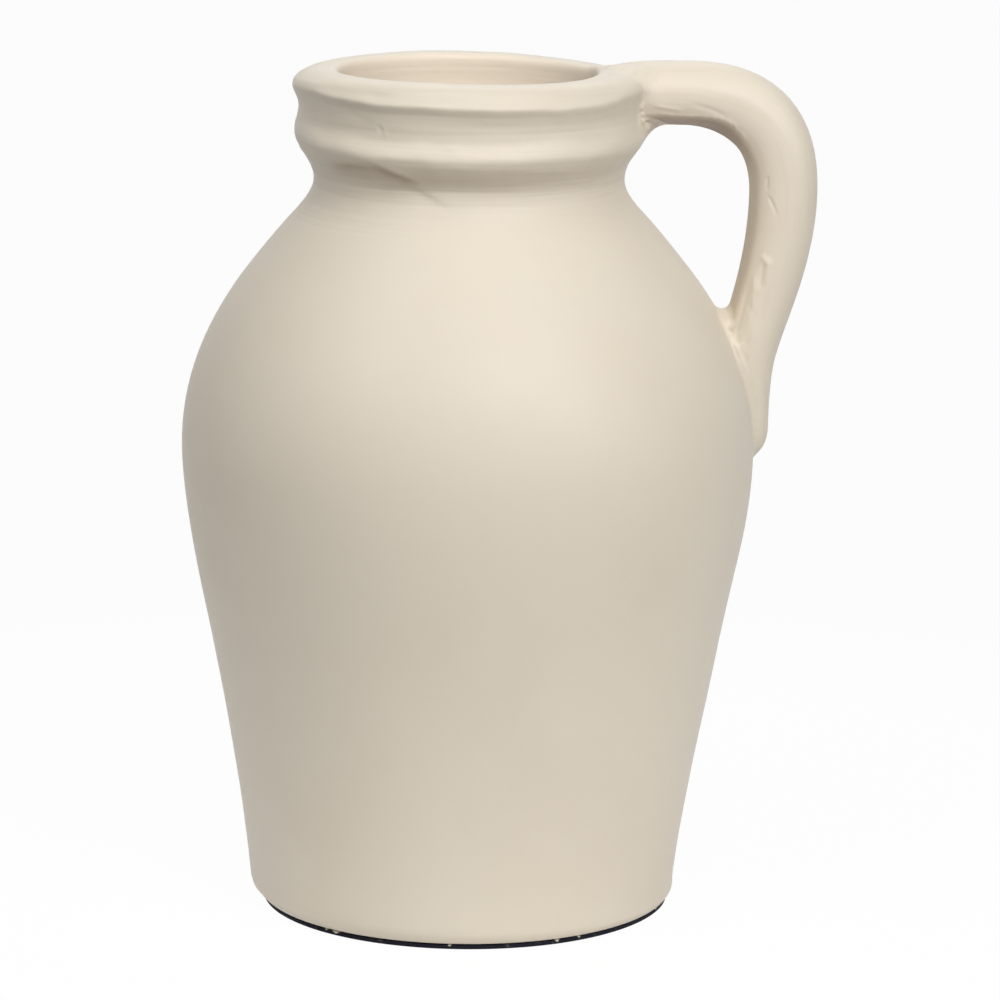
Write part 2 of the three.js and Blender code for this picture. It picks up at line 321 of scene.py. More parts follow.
def rings(angle, height):
    """Finger rings round the neck: narrow grooves, each at its own height, that drift a little,
    and are deeper on one side than on the other."""
    dice = np.random.default_rng(RING_SEED)
    total = np.zeros(np.broadcast(angle, height).shape)
    for _ in range(RING_COUNT):
        middle = dice.uniform(*RING_HEIGHTS)
        width = dice.uniform(*RING_HALF_WIDTHS)
        depth = dice.uniform(*RING_DEPTHS)
        strong_side, lean, phase = dice.uniform(0, 2 * np.pi, 3)
        drift = 0.5 * np.sin(angle + lean) + 0.2 * np.sin(3 * angle + phase)
        strength = (0.5 + 0.5 * np.cos(angle - strong_side)) ** 1.5
        total -= depth * strength * hill(height, middle + drift, width)
    return total


def dabs(angle, height):
    """Flat dabs that fingertips left all over the neck: low oval hills and hollows."""
    dice = np.random.default_rng(DAB_SEED)
    total = 0
    for _ in range(DAB_COUNT):
        place = (dice.uniform(-180, 180), dice.uniform(*DAB_HEIGHTS))
        across, up = beside(angle, height, place)
        half_length, half_height, out = dice.uniform(DAB_LEAST, DAB_MOST)
        total = total + out * hill(across, 0, half_length) * hill(up, 0, half_height)
    return total


def bore_dent(angle, height):
    """Rings inside the neck, where the fingers opened it: sines of the height that drift round."""
    drift = 0.8 * wander(angle, *BORE_WANDER)
    lines = 0.5 * np.sin(2.6 * (height + drift)) + 0.5 * np.sin(1.15 * (height - 1.4 * drift) + 1)
    return BORE_RING_DEPTH * plateau(height, *BORE_RINGS) * lines


# %% Edges that wander up and down
RIDGE_EDGE = (  # angle, and the height of the ridge's lower edge there
    [-180, -150, -135, -119, -92, -77, -60, -39, 0, 60, 130, 180],
    [276.5, 276.5, 276.0, 275.2, 275.4, 275.4, 276.1, 276.6, 276.6, 275.4, 277.0, 276.5],
)
RIDGE_OVER_EDGE = 1.3  # the ridge's widest place lies this far above its edge
RIDGE_HEIGHTS = (WAIST[0], 272, 280, 290)  # what lies between the middle two moves with the ridge
LIP_EDGE = (
    [-180, -152, -135, -119, -92, -80, -62, -50, -39, -28, 0, 60, 180],
    [293.8, 294.3, 293.2, 292.6, 292.5, 292.5, 292.0, 292.4, 293.1, 294.2, 293.6, 293.4, 293.8],
)
LIP_EDGE_MEAN = 293.1
LIP_HEIGHTS = (285, 291, 295, 299)
EDGE_WAVES = 48  # small waves of both edges, up to this many round the pot
EDGE_WAVE = 0.3
RIDGE_SEED = 13
LIP_SEED = 17
RIM_LIFT = (  # angle, and how far the crown of the lip stands above an even rim
    [-180, -140, -110, -90, -50, -38, -20, -6, 14, 31, 43, 53, 80, 107, 144, 160, 180],
    [-0.6, -0.2, 0.2, 0.2, 0.0, 0.1, 0.6, 0.8, 0.5, -1.0, -0.9, -0.7, 0, 0.3, -0.2, -0.3, -0.6],
)
RIM_HEIGHTS = (285, 297)  # the lift begins at the first and is whole at the second


def ridge_shift(angle, height):
    """How far the ridge and the lip's lower edge wander upwards, each within its own heights."""
    degrees = turned_by(angle, 0)
    ridge_waves = EDGE_WAVE * wander(angle, EDGE_WAVES, RIDGE_SEED)
    lip_waves = EDGE_WAVE * wander(angle, EDGE_WAVES, LIP_SEED)
    ridge = eased(degrees, *RIDGE_EDGE) + RIDGE_OVER_EDGE - RIDGE[0] + ridge_waves
    lip = eased(degrees, *LIP_EDGE) - LIP_EDGE_MEAN + lip_waves
    return ridge * plateau(height, *RIDGE_HEIGHTS) + lip * plateau(height, *LIP_HEIGHTS)


def rim_shift(angle, height):
    """How far the crown of the lip stands above an even rim."""
    return eased(turned_by(angle, 0), *RIM_LIFT) * rise_between(height, *RIM_HEIGHTS)


# %% Crisp edges at the front
PRESSED_NECK = [
    (262.4, 55.0, 0.0), (267.5, 57.1, 0.85), (272.2, 61.1, 0.8), (276.0, 62.9, 0.0),
    (282.8, 60.3, 0.0), (290.4, 61.0, 0.25), (292.6, 62.2, 0.5), (294.0, LIP[1], 0.0),
]
PRESSED_PLACES = np.array([FOOT, FLANK, BELLY, SHOULDER, NECK_ROOT, *PRESSED_NECK])
PRESSED_SHARE = (  # angle, and how much of the pressed profile shows there
    [-180, -165, -140, -100, -75, -50, -28, 0, 180],
    [0, 0.3, 0.9, 1, 0.85, 0.65, 0.35, 0, 0],
)
LIP_BEVEL = (0.7, LIP[0] + 2.9, 1.7)  # depth, height of its middle, and half its height


def crisp_edges(angle, height):
    """Where a tool pressed the front of the neck: the pressed profile less the round one, taken at
    the height before the edges wandered, and a shallow bevel on the lip."""
    drawn = height - ridge_shift(angle, height)
    depth, middle, half_height = LIP_BEVEL
    edges = wall_radius(drawn, PRESSED_PLACES) - wall_radius(drawn)
    edges = edges - depth * hill(drawn, middle, half_height)
    return eased(turned_by(angle, 0), *PRESSED_SHARE) * edges


print(len(PRESSED_NECK), "places on the pressed neck")

# %% All of the outside together
UNEVEN = 0.2  # how far the pot is out of round
TRUE_CREST = (CREST - 5, CREST - 0.5)  # towards the crest it grows round again
GROOVE_WANDER = (7, 5)  # waves round the pot, and the seed
GROOVE_WAVER = (0.2, 2.6)  # how much the groove's depth changes, and half its height
RUB = (1.7, 35, 270, 6)  # the ridge rubbed down at the handle: depth, half width, height, half height
NECK_MARKS = (240, 250, CREST - 3, CREST - 0.5)  # heights between which the neck's marks begin and end


def uneven(angle, height):
    """Two slow waves round the pot that twist as they climb."""
    twice = np.sin(2 * angle + 0.02 * height)
    thrice = np.sin(3 * angle - 0.035 * height + 1)
    return -UNEVEN * (1 + 0.5 * twice + 0.5 * thrice)


def outside_dent(angle, height):
    """How far the outside stands off its round radius, in millimetres: a pot that is slightly out
    of round, a groove of uneven depth, and the marks of the neck."""
    change, half_height = GROOVE_WAVER
    groove = change * wander(angle, *GROOVE_WANDER) * hill(height, GROOVE[0], half_height)
    depth, half_width, middle, half_height = RUB
    rubbed = -depth * hill(turned_by(angle, 0), 0, half_width) * hill(height, middle, half_height)
    marks = rings(angle, height) + dabs(angle, height) + crisp_edges(angle, height) + rubbed
    marks = marks + folds_and_pits(angle, height)
    soft = uneven(angle, height) * (1 - rise_between(height, *TRUE_CREST))
    return soft + groove + plateau(height, *NECK_MARKS) * marks


# %% A point of the pot
LEAN = (  # heights, and the shift along X there
    [0, 3, 7.5, 20, 45, 80, 110, 145, 175, 212, 235, 260, 272, 310],
    [0.3, 0.1, -0.9, -0.8, -0.5, -0.15, -0.15, 0.3, 0.1, 0, -0.2, -0.2, 0, 0],
)
RIM_DIP = 0.0094  # how far the neck drops towards the handle, for each millimetre of X
DIP_HEIGHTS = (246, 272)  # the drop begins at the first and is whole at the second
PINCH = 1.8  # clay pushed over the rim into the mouth, under the handle's root
PINCH_WIDTH = 20.0  # half of it, in degrees
PINCH_WAYS = crest_way + np.array([0.5, 3.5, 14, 26])  # where along the profile it begins and ends


def hand_moved(points):
    """Lean and rim dip: X shifts with the height, and the neck drops along X."""
    x = points[..., 0] + eased(points[..., 2], *LEAN)
    dip = RIM_DIP * x * rise_between(points[..., 2], *DIP_HEIGHTS)
    return np.stack([x, points[..., 1], points[..., 2] - dip], axis=-1)


def pot_point(angle, way):
    """The pot's surface: the profile's radius and height at a way along it, with the dents,
    turned by the angle, then moved as the hand moved it."""
    radius = np.interp(way, profile_way, profile[:, 0])
    height = np.interp(way, profile_way, profile[:, 1])
    outer = (way > end_of["underside"]) & (way < crest_way)
    inner = (way >= crest_way) & (way < end_of["inside"])
    height = height + np.where(outer, ridge_shift(angle, height), 0)
    radius = radius + np.where(outer, outside_dent(angle, height), 0)
    radius = radius + np.where(inner, bore_dent(angle, height), 0)
    radius = radius - PINCH * hill(turned_by(angle, 0), 0, PINCH_WIDTH) * plateau(way, *PINCH_WAYS)
    height = height + rim_shift(angle, height)
    flat = np.broadcast_arrays(radius * np.cos(angle), radius * np.sin(angle), height)
    return hand_moved(np.stack(flat, axis=-1))


print("crest at the front", pot_point(np.radians(-90), crest_way).round(2), "mm")

# %% Grids that become closed meshes


def ring_faces(rows, columns, closed_rows=False):
    """Quads of a grid whose last column meets the first, and with closed_rows its last row too."""
    row = np.arange(rows if closed_rows else rows - 1)[:, None]
    column = np.arange(columns)[None, :]
    next_row = (row + 1) % rows
    next_column = (column + 1) % columns
    corners = [row * columns + column, row * columns + next_column,
               next_row * columns + next_column, next_row * columns + column]
    return np.stack(np.broadcast_arrays(*corners), axis=-1).reshape(-1, 4)


def fan_faces(pole, first, columns, outwards):
    """Triangles from a pole to a ring of columns that starts at the vertex first."""
    ring = first + np.arange(columns)
    after = np.roll(ring, -1)
    sides = (after, ring) if outwards else (ring, after)
    return np.column_stack([np.full(columns, pole), *sides])


def mesh_of(name, points, faces):
    """A mesh object from points in millimetres and arrays of faces, smooth all over."""
    mesh = bpy.data.meshes.new(name)
    every_face = [face for array in faces for face in array.tolist()]
    mesh.from_pydata((points * MM).tolist(), [], every_face)
    mesh.shade_smooth()
    mesh.update()
    piece = bpy.data.objects.new(name, mesh)
    bpy.context.scene.collection.objects.link(piece)
    return piece


def in_mesh_order(grid):
    """A grid's values as the mesh holds them: its inner rows, then one for each pole."""
    inner = grid[1:-1].reshape(-1, grid.shape[-1])
    return np.concatenate([inner, grid[0].mean(axis=0)[None], grid[-1].mean(axis=0)[None]])


def closed_by_poles(name, grid):
    """A grid of rows and columns whose first and last row are each one point, made a mesh."""
    rows, columns = grid.shape[:2]
    points = in_mesh_order(grid)
    start_pole = len(points) - 2
    last_ring = (rows - 3) * columns
    faces = [
        ring_faces(rows - 2, columns),
        fan_faces(start_pole, 0, columns, True),
        fan_faces(start_pole + 1, last_ring, columns, False),
    ]
    return mesh_of(name, points, faces)


# %% What a mesh holds and measures
CUBIC_CENTIMETRES = 1e6  # in a cubic metre


def store(piece, name, grid):
    """Keeps a number or a vector at each point of a piece, for its material to read."""
    values = in_mesh_order(grid)
    kind, field = ("FLOAT", "value") if values.shape[1] == 1 else ("FLOAT_VECTOR", "vector")
    attribute = piece.data.attributes.new(name, kind, "POINT")
    attribute.data.foreach_set(field, values.ravel().astype(np.float32))


def volume_of(piece):
    """Volume inside a closed mesh, in cubic centimetres: it is positive if the faces point out."""
    mesh = piece.data
    mesh.calc_loop_triangles()
    corners = np.zeros(len(mesh.loop_triangles) * 3, np.int32)
    mesh.loop_triangles.foreach_get("vertices", corners)
    places = np.zeros(len(mesh.vertices) * 3)
    mesh.vertices.foreach_get("co", places)
    a, b, c = places.reshape(-1, 3)[corners.reshape(-1, 3)].transpose(1, 0, 2)
    return float(np.einsum("ij,ij->", a, np.cross(b, c)) / 6 * CUBIC_CENTIMETRES)


def report(piece):
    """Prints what a piece measures. Its triangles are there once volume_of has asked for them."""
    volume = volume_of(piece)
    print(piece.name, len(piece.data.loop_triangles), "triangles,", round(volume, 2), "cm3")


# %% [markdown]
# ## The thrown pot
#
# Rows of the grid run along the profile and columns run round the pot. Even rows would waste
# points on the plain belly and blur the neck, so the distance between rows follows what there is
# to show: half a millimetre at the neck, and several inside, where nobody looks closely.

# %% Rows and columns of the pot
ROW_SPACING = {  # millimetres
    "underside": 12.0,
    "foot edge": 0.7,
    "outside": 4.5,
    "lip outside": 0.55,
    "lip inside": 0.5,
    "throat": 0.9,
    "inside": 9.0,
    "cove": 5.0,
    "floor": 12.0,
}
NECK_SPACING = ([240, 262, 266, 276, 280, 310], [0.5, 0.5, 0.33, 0.33, 0.5, 0.5])  # heights, spacing
NECK_FROM = NECK_ROOT[0] - 3
THROAT_PLAIN_BELOW = GROOVE[0] - 2
THROAT_PLAIN_SPACING = 3.0
POT_COLUMNS = 320
CLOSER_COLUMNS = [(-116, 1.8, 20), (0, 0.5, 28)]  # angle, how many more there, half width in degrees
EVEN_ANGLES = 7201  # from which the angles of the columns are read


def pot_rows():
    """Ways along the profile at which rows lie, closest where the spacing is smallest."""
    index = np.searchsorted(stretch_ends[:-1], profile_way)
    stretch = np.array(list(stretches))[index]
    spacing = np.array([ROW_SPACING[name] for name in stretches])[index]
    height = profile[:, 1]
    neck = (stretch == "outside") & (height > NECK_FROM)
    spacing[neck] = eased(height[neck], *NECK_SPACING)
    spacing[(stretch == "throat") & (height < THROAT_PLAIN_BELOW)] = THROAT_PLAIN_SPACING
    density = np.concatenate([[0], np.cumsum(np.diff(profile_way) / spacing[1:])])
    return np.interp(np.linspace(0, density[-1], int(density[-1])), density, profile_way)


def pot_angles():
    """Angles of the columns, closer together at the folds and at the handle."""
    even = np.linspace(-np.pi, np.pi, EVEN_ANGLES)
    density = np.ones(EVEN_ANGLES)
    for middle, more, half_width in CLOSER_COLUMNS:
        density += more * hill(turned_by(even, middle), 0, half_width)
    total = np.concatenate([[0], np.cumsum(density[1:] + density[:-1])])
    return np.interp(np.arange(POT_COLUMNS) / POT_COLUMNS * total[-1], total, even)


# %% Make the pot
columns = pot_angles()[None, :]
rows = pot_rows()[:, None]
thrown_pot = closed_by_poles("thrown_pot", pot_point(columns, rows))
report(thrown_pot)

# %% Where the spray reached the pot, with painted light in its mouth and painted shade under its folds
BARE_FROM = (crest_way + 40, crest_way + 75)  # the spray reaches this far down the inside
PAINTED_LIGHT_FROM = (crest_way + 2, crest_way + 8)  # painted light: the inside is lightened from just below the crest on
PAINTED_SHADE_FOLDS = FOLDS[:2]  # painted shade lies under these folds
PAINTED_SHADE_PRESS = (0.0, 0.9, 0.7, 1.0, 1.9)  # what pressed() takes, here for the share of painted shade

bare = rise_between(rows, *BARE_FROM) + 0 * columns
store(thrown_pot, "bare", bare[..., None])
# painted light: the whole inside of the mouth is lightened
painted_light_in_mouth = rise_between(rows, *PAINTED_LIGHT_FROM) + 0 * columns
store(thrown_pot, "painted_light_in_mouth", painted_light_in_mouth[..., None])
# painted shade: a brown share in the crease under the first two folds
row_heights = np.interp(rows, profile_way, profile[:, 1])
under_folds = -sum(fold(columns, row_heights, start, end, PAINTED_SHADE_PRESS) for start, end, _ in PAINTED_SHADE_FOLDS)
painted_shade = np.clip(under_folds * (rows < crest_way), 0, 1)
store(thrown_pot, "painted_shade", painted_shade[..., None])
print("most that the spray missed on the pot", round(float(painted_shade.max()), 2))

# %% [markdown]
# ## The pulled handle
#
# A handle is pulled from a wet roll of clay, laid in its curve and pressed on. Its middle line
# could be a hand-drawn curve; four cubic stretches, each of which keeps its end directions for a
# while, need fewer numbers. A section is carried along that line. It is an oval, a little square,
# with a flat on each side of the hand's face where the fingers stroked it.

# %% Sizes of the handle
ROOT = (50.5, 290.3)  # inside the lip's clay
ROOT_WAY = (0.97, 0.24)
BEND_START = (74.8, 291.8)
OUTERMOST = (110.75, 257.0)
TAIL_START_HEIGHT = 203.0
TAIL_START_PROUD = 5.3
TAIL_END_HEIGHT = 162.4
TAIL_SINK = 1.7
FALL = (-0.29, -1.0)
PULLS = [(9.0, 8.0), (22.0, 25.0), (19.0, 19.0), (12.0, 12.0)]  # at the start and end of each stretch
THICK = [11.2, 11.6, 12.75, 12.2, 10.6, 7.0]  # half thickness: root, bend, mid-bend, outermost, tail twice
WIDE = [15.5, 14.6, 14.0, 13.4, 12.5, 9.5]  # half width across, at the same places
DOME = 3.0  # length of the rounded start, inside the clay
TIP = 10.0  # length of the tail's rounded tip
SQUARENESS = 2.2
CURVE_POINTS = 800  # on each stretch of the middle line

# %% The handle's middle line


def bezier(start, after, before, end):
    """Cubic through its ends, drawn towards the two points between them."""
    u = np.linspace(0, 1, CURVE_POINTS)[:, None]
    return ((1 - u) ** 3 * start + 3 * u * (1 - u) ** 2 * after
            + 3 * u * u * (1 - u) * before + u ** 3 * end)


def unit(vectors):
    """Vectors of length one."""
    return vectors / np.linalg.norm(vectors, axis=-1, keepdims=True)


def handle_line():
    """Points of the middle line in X and Z, and the way along it at the five places."""
    tail_start = (wall_radius(TAIL_START_HEIGHT) + TAIL_START_PROUD, TAIL_START_HEIGHT)
    tail_end = (wall_radius(TAIL_END_HEIGHT) - TAIL_SINK, TAIL_END_HEIGHT)
    places = [np.array(p, float) for p in (ROOT, BEND_START, OUTERMOST, tail_start, tail_end)]
    ways = [unit(np.array(w, float)) for w in (ROOT_WAY, (1, 0), (0, -1), FALL, (0, -1))]
    parts = []
    for i, (pull_out, pull_in) in enumerate(PULLS):
        after = places[i] + pull_out * ways[i]
        before = places[i + 1] - pull_in * ways[i + 1]
        parts.append(bezier(places[i], after, before, places[i + 1]))
    line = np.concatenate([parts[0]] + [part[1:] for part in parts[1:]])
    way = way_along(line)
    joins = way[np.cumsum([0] + [len(part) - 1 for part in parts])]
    return line, way, joins


middle_line, middle_way, handle_joins = handle_line()
middle_directions = unit(np.gradient(middle_line, middle_way, axis=0))
section_ways = np.insert(handle_joins, 2, (handle_joins[1] + handle_joins[2]) / 2)
handle_length = middle_way[-1]
print("handle", round(handle_length, 1), "mm long, places at", handle_joins.round(1))

# %% The handle's section
FLAT_MIDDLE = ([0, 12, 40, 60, 230], [160, 159, 155, 158, 160])  # way along, degrees from the outer face
FLAT_DEPTH = ([0, 8, 36, 56, 80, 230], [0.97, 0.93, 0.9, 0.925, 0.985, 1.0])  # share of the radius left
CRISPNESS = 60.0  # of the edges between the flats and the round


def section_radius(turn, way):
    """Radius of the unit section: a slightly square circle, cut by the two flats. A flat's radius
    is its distance over the cosine of the angle to it, and a high power picks the smaller."""
    square = (np.abs(np.cos(turn)) ** SQUARENESS + np.abs(np.sin(turn)) ** SQUARENESS) ** (-1 / SQUARENESS)
    depth = eased(way, *FLAT_DEPTH)
    middle = np.radians(eased(way, *FLAT_MIDDLE))
    inverse = square ** -CRISPNESS
    for side in (-1, 1):
        facing = np.maximum(np.cos(turn - side * middle), 0)
        inverse = inverse + (facing / depth) ** CRISPNESS
    return inverse ** (-1 / CRISPNESS)


# %% Marks of the hand along the handle
BURR_TURN = ([0, 20, 38, 60, 230], [124, 121, 118, 130, 134])  # clay pushed up beside each flat
BURR = ([4, 9, 16, 28, 44, 58, 70], [0, 0.45, 0.25, 0.5, 0.35, 0.15, 0])  # way along the handle, height
BURR_HALF_WIDTH = 4  # degrees
GULLY = 0.55  # how deep the clay is dug out under the burr, for each millimetre of its height
GULLY_PLACE = (11, 6)  # degrees past the burr, and half width
SLOW_WAVE = 0.12
HAND_RADIUS = 12.5  # turns the turn into millimetres round the handle
STROKE_ENDS = (-0.12, 0.25, 0.75, 1.12)  # shares of its length between which a stroke begins and fades
STROKES = [  # turn and way of both ends, half width, and depth, or below zero a raised line
    ((-118, 73.4), (-121, 79.5), 0.5, 0.3),
    ((-118, 81.3), (-102, 88.4), 0.55, 0.35),
    ((-56, 50.0), (-79, 74.0), 1.5, 0.2),
    ((-72, 84.0), (-78, 112.0), 2.0, -0.2),
    ((-119, 103.5), (-99, 107.0), 1.2, -0.35),
    ((-104, 104.0), (-99, 114.0), 1.2, -0.35),
    ((-112, 106.0), (-108, 115.0), 0.9, 0.35),
    ((-123, 112.0), (-104, 124.0), 1.4, -0.5),
    ((-113, 117.0), (-103, 123.0), 0.7, 0.25),
    ((-97, 117.0), (-84, 128.0), 1.5, 0.2),
    ((-114, 124.0), (-92, 134.0), 1.7, -0.3),
    ((-108, 136.0), (-101, 139.5), 1.1, -0.3),
    ((-129, 117.0), (-125, 136.0), 1.0, 0.45),
    ((-118, 44.5), (-131, 47.0), 0.5, 0.3),
    ((-104, 14.0), (-112, 24.0), 0.8, -0.3),
    ((-100, 27.0), (-110, 40.0), 0.9, 0.25),
    ((112, 60.0), (104, 78.0), 0.9, 0.3),
    ((95, 100.0), (118, 118.0), 1.1, -0.4),
    ((121, 108.0), (100, 121.0), 0.8, 0.4),
    ((60, 30.0), (75, 52.0), 1.4, 0.22),
    ((20, 62.0), (34, 88.0), 1.6, 0.16),
    ((-14, 96.0), (-30, 124.0), 1.5, 0.18),
]


def stroke(turn, way, start, end, half_width, depth):
    """A short line drawn in the wet clay: a hill of the distance from it, fading to its ends."""
    across = np.radians(turned_by(turn, start[0])) * HAND_RADIUS
    run = np.array([np.radians(end[0] - start[0]) * HAND_RADIUS, end[1] - start[1]])
    along = (across * run[0] + (way - start[1]) * run[1]) / (run @ run)
    aside = (across * run[1] - (way - start[1]) * run[0]) / np.linalg.norm(run)
    return -depth * plateau(along, *STROKE_ENDS) * hill(aside, 0, half_width)


def handle_wobble(turn, way):
    """Unevenness of the clay in millimetres: slow waves along and round the handle, a broken burr
    beside each flat with a gully under it, and the strokes."""
    slow = np.sin(way / 11 + 1.3 * np.sin(turn)) + np.sin(way / 7.3 + 2 * np.cos(turn + 0.6))
    broken = 0.6 + 0.25 * np.sin(0.5 * way + 2 * np.sin(way / 4))
    broken = broken + 0.15 * np.sin(1.3 * way + 3 * np.sin(way / 3))
    side = np.sign(turned_by(turn, 0))
    past_burr = np.abs(turned_by(turn, 0)) - eased(way, *BURR_TURN) + 2 * np.sin(way / 5 + side)
    shape = hill(past_burr, 0, BURR_HALF_WIDTH) - GULLY * hill(past_burr, *GULLY_PLACE)
    burr = eased(way, *BURR) * broken * shape
    return burr + sum(stroke(turn, way, *line) for line in STROKES) - SLOW_WAVE * (1 + 0.5 * slow)


def handle_point(turn, way):
    """The handle's surface: the middle line, plus outwards the cosine and across the sine of the
    turn, times the section. Turn 0 is the outer face and half a turn is the hand's side."""
    way = np.clip(way, 0, handle_length)
    x = np.interp(way, middle_way, middle_line[:, 0])
    z = np.interp(way, middle_way, middle_line[:, 1])
    dx = np.interp(way, middle_way, middle_directions[:, 0])
    dz = np.interp(way, middle_way, middle_directions[:, 1])
    start = np.clip(way / DOME, 0, 1)
    end = np.clip((handle_length - way) / TIP, 0, 1)
    ends = np.sqrt(1 - (1 - start) ** 2) * np.sqrt(1 - (1 - end) ** 2)
    radius = section_radius(turn, way)
    wobble = handle_wobble(turn, way)
    thick = ends * (eased(way, section_ways, THICK) * radius + wobble)
    wide = ends * (eased(way, section_ways, WIDE) * radius + wobble)
    outwards = np.cos(turn) * thick
    across = np.sin(turn) * wide
    return np.stack(np.broadcast_arrays(x - dz * outwards, across, z + dx * outwards), axis=-1)


# %% Make the handle
HANDLE_COLUMNS = 196
HANDLE_ROWS = 420
PAINTED_SHADE_ALONG = ([0, 12, 40, 75, 230], [0.8, 1.0, 0.9, 0.3, 0.15])  # way along, and the share of painted shade on the hand's side
PAINTED_SHADE_TURNS = (-3, 20)  # degrees past the burr: the painted shade begins at the first, whole at the second

columns = np.linspace(0, -2 * np.pi, HANDLE_COLUMNS, endpoint=False)[None, :]
rows = (handle_length * np.linspace(0, 1, HANDLE_ROWS))[:, None]
pulled_handle = closed_by_poles("pulled_handle", handle_point(columns, rows))
straight = np.broadcast_arrays(HAND_RADIUS * np.cos(columns), HAND_RADIUS * np.sin(columns), rows)
store(pulled_handle, "laid_straight", np.stack(straight, axis=-1) * MM)
# painted shade: a brown share on the handle's underside, past the burr
past_burr = np.abs(turned_by(columns, 0)) - eased(rows, *BURR_TURN)
painted_shade = rise_between(past_burr, *PAINTED_SHADE_TURNS) * eased(rows, *PAINTED_SHADE_ALONG)
store(pulled_handle, "painted_shade", painted_shade[..., None])
report(pulled_handle)

# %% [markdown]
# ## Soft clay in the joints
#
# Where the handle meets the pot, the potter works soft clay into the crease and strokes it out,
# so that one surface flows into the other. It could be sculpted or blended by remeshing, which
# loses the neck's fine rings. Here the crease is found first: the line on which each lengthwise
# line of the handle comes out of the pot. Then a strip is laid over it. It starts on the handle
# and ends on the pot, some way from the crease, flat against both, and dips like a hollow between.

# %% Find the crease
HALVINGS = 40


def undone(points):
    """Angle, radius and height on the round profile of points on the pot: the hand's moves are
    taken back in turn."""
    x = points[..., 0] - eased(points[..., 2], *LEAN)
    z = points[..., 2] + RIM_DIP * points[..., 0] * rise_between(points[..., 2], *DIP_HEIGHTS)
    angle = np.arctan2(points[..., 1], x)
    z = z - rim_shift(angle, z)
    radius = np.hypot(x, points[..., 1]) - outside_dent(angle, z)
    return angle, radius, z - ridge_shift(angle, z)


def inside_clay(points):
    """Whether points lie under the pot's outside: the radius is set against the wall, or above the
    lip's widest place against both halves of its crown."""
    angle, radius, z = undone(points)
    outer = radius > lip_middle
    out = np.abs(radius - lip_middle) / np.where(outer, *lip_halves)
    squareness = np.where(outer, *LIP_SQUARENESS)
    up = np.maximum(z - LIP[0], 0) / lip_crown
    crown = out ** squareness + up ** squareness < 1
    return np.where(z > LIP[0], crown, radius < wall_radius(z))


def surfacing_way(turn, buried, free):
    """The way along the handle at which it comes out of the pot, by halving the doubt."""
    buried = np.full(turn.shape, float(buried))
    free = np.full(turn.shape, float(free))
    for _ in range(HALVINGS):
        middle = (buried + free) / 2
        under = inside_clay(handle_point(turn, middle))
        buried = np.where(under, middle, buried)
        free = np.where(under, free, middle)
    return free


def pot_place(points):
    """Angle and way along the profile of points on the pot's outside: the nearest point of the
    profile, once the hand's moves are undone."""
    angle, radius, z = undone(points)
    outer = profile_way < end_of["lip inside"]
    off_radius = profile[outer, 0][None] - radius[:, None]
    off_height = profile[outer, 1][None] - z[:, None]
    return angle, profile_way[outer][(off_radius ** 2 + off_height ** 2).argmin(axis=1)]


# %% Steps on a surface
PARAMETER_STEP = 1e-3
HANDLE_RADIAN = 12  # millimetres round the handle for one radian
POT_RADIAN = 60  # and round the pot


def slopes(surface, a, b, length):
    """Change of a surface point with each of its two parameters. length is what the first one
    measures for each radian, so that both steps are equally small."""
    da = PARAMETER_STEP
    db = PARAMETER_STEP * length
    along_a = (surface(a + da, b) - surface(a - da, b)) / (2 * da)
    along_b = (surface(a, b + db) - surface(a, b - db)) / (2 * db)
    return along_a, along_b


def dot(a, b):
    """Products of vectors, row by row, kept as columns."""
    return (a * b).sum(axis=-1, keepdims=True)


def walk(surface, a, b, length, way, distance):
    """Parameters of the point that lies a distance along a direction in the surface. The two
    slopes' own products turn the direction into steps of the parameters."""
    along_a, along_b = slopes(surface, a, b, length)
    aa, ab, bb = dot(along_a, along_a), dot(along_a, along_b), dot(along_b, along_b)
    wa, wb = dot(way, along_a), dot(way, along_b)
    scale = distance[:, None] / (aa * bb - ab * ab)
    return a + ((bb * wa - ab * wb) * scale)[:, 0], b + ((aa * wb - ab * wa) * scale)[:, 0]


def normal_of(surface, a, b, length, sign):
    """Outward direction of a surface, square to both slopes."""
    along_a, along_b = slopes(surface, a, b, length)
    return sign * unit(np.cross(along_a, along_b))


def pointing(vectors, side):
    """Vectors of length one, each turned round if it points away from a side."""
    vectors = unit(vectors)
    return vectors * np.sign(dot(vectors, side))


# %% A strip of clay over a crease
CREASE_POINTS = 1441
STRIP_COLUMNS = 320
STRIP_ROWS = 26
STRIP_SHARES = 0.5 - 0.5 * np.cos(np.linspace(0, np.pi, STRIP_ROWS))  # closer rows at both edges
LIFT = 0.01  # the strip's edges lie this far over the surfaces, too little to see
SINK = 1.0  # and its back this far under them
TINY = 1e-6  # stands in for the tangent of no bend at all, so that nothing is divided by zero


def crease_turns(buried, free):
    """Turns of the handle's section, chosen so that the crease has evenly spaced points."""
    turn = np.linspace(-np.pi, np.pi, CREASE_POINTS)
    way = way_along(handle_point(turn, surfacing_way(turn, buried, free)))
    return np.interp(np.arange(STRIP_COLUMNS) / STRIP_COLUMNS * way[-1], way, turn)


def hollow_between(a, b, leave, arrive, a_reach, b_reach):
    """Rows of points from a to b: the cubic that leaves and arrives in the given directions, with
    pulls that make it nearly a part of a circle."""
    v = STRIP_SHARES[:, None, None]
    bend = np.arccos(np.clip(dot(leave, arrive), -1, 1))
    pull = 4 * np.tan(bend / 4) / np.maximum(np.tan(bend / 2), TINY)
    return ((1 + 2 * v) * (1 - v) ** 2 * a + v * v * (3 - 2 * v) * b
            + v * (1 - v) ** 2 * pull * a_reach[:, None] * leave
            - v * v * (1 - v) * pull * b_reach[:, None] * arrive)


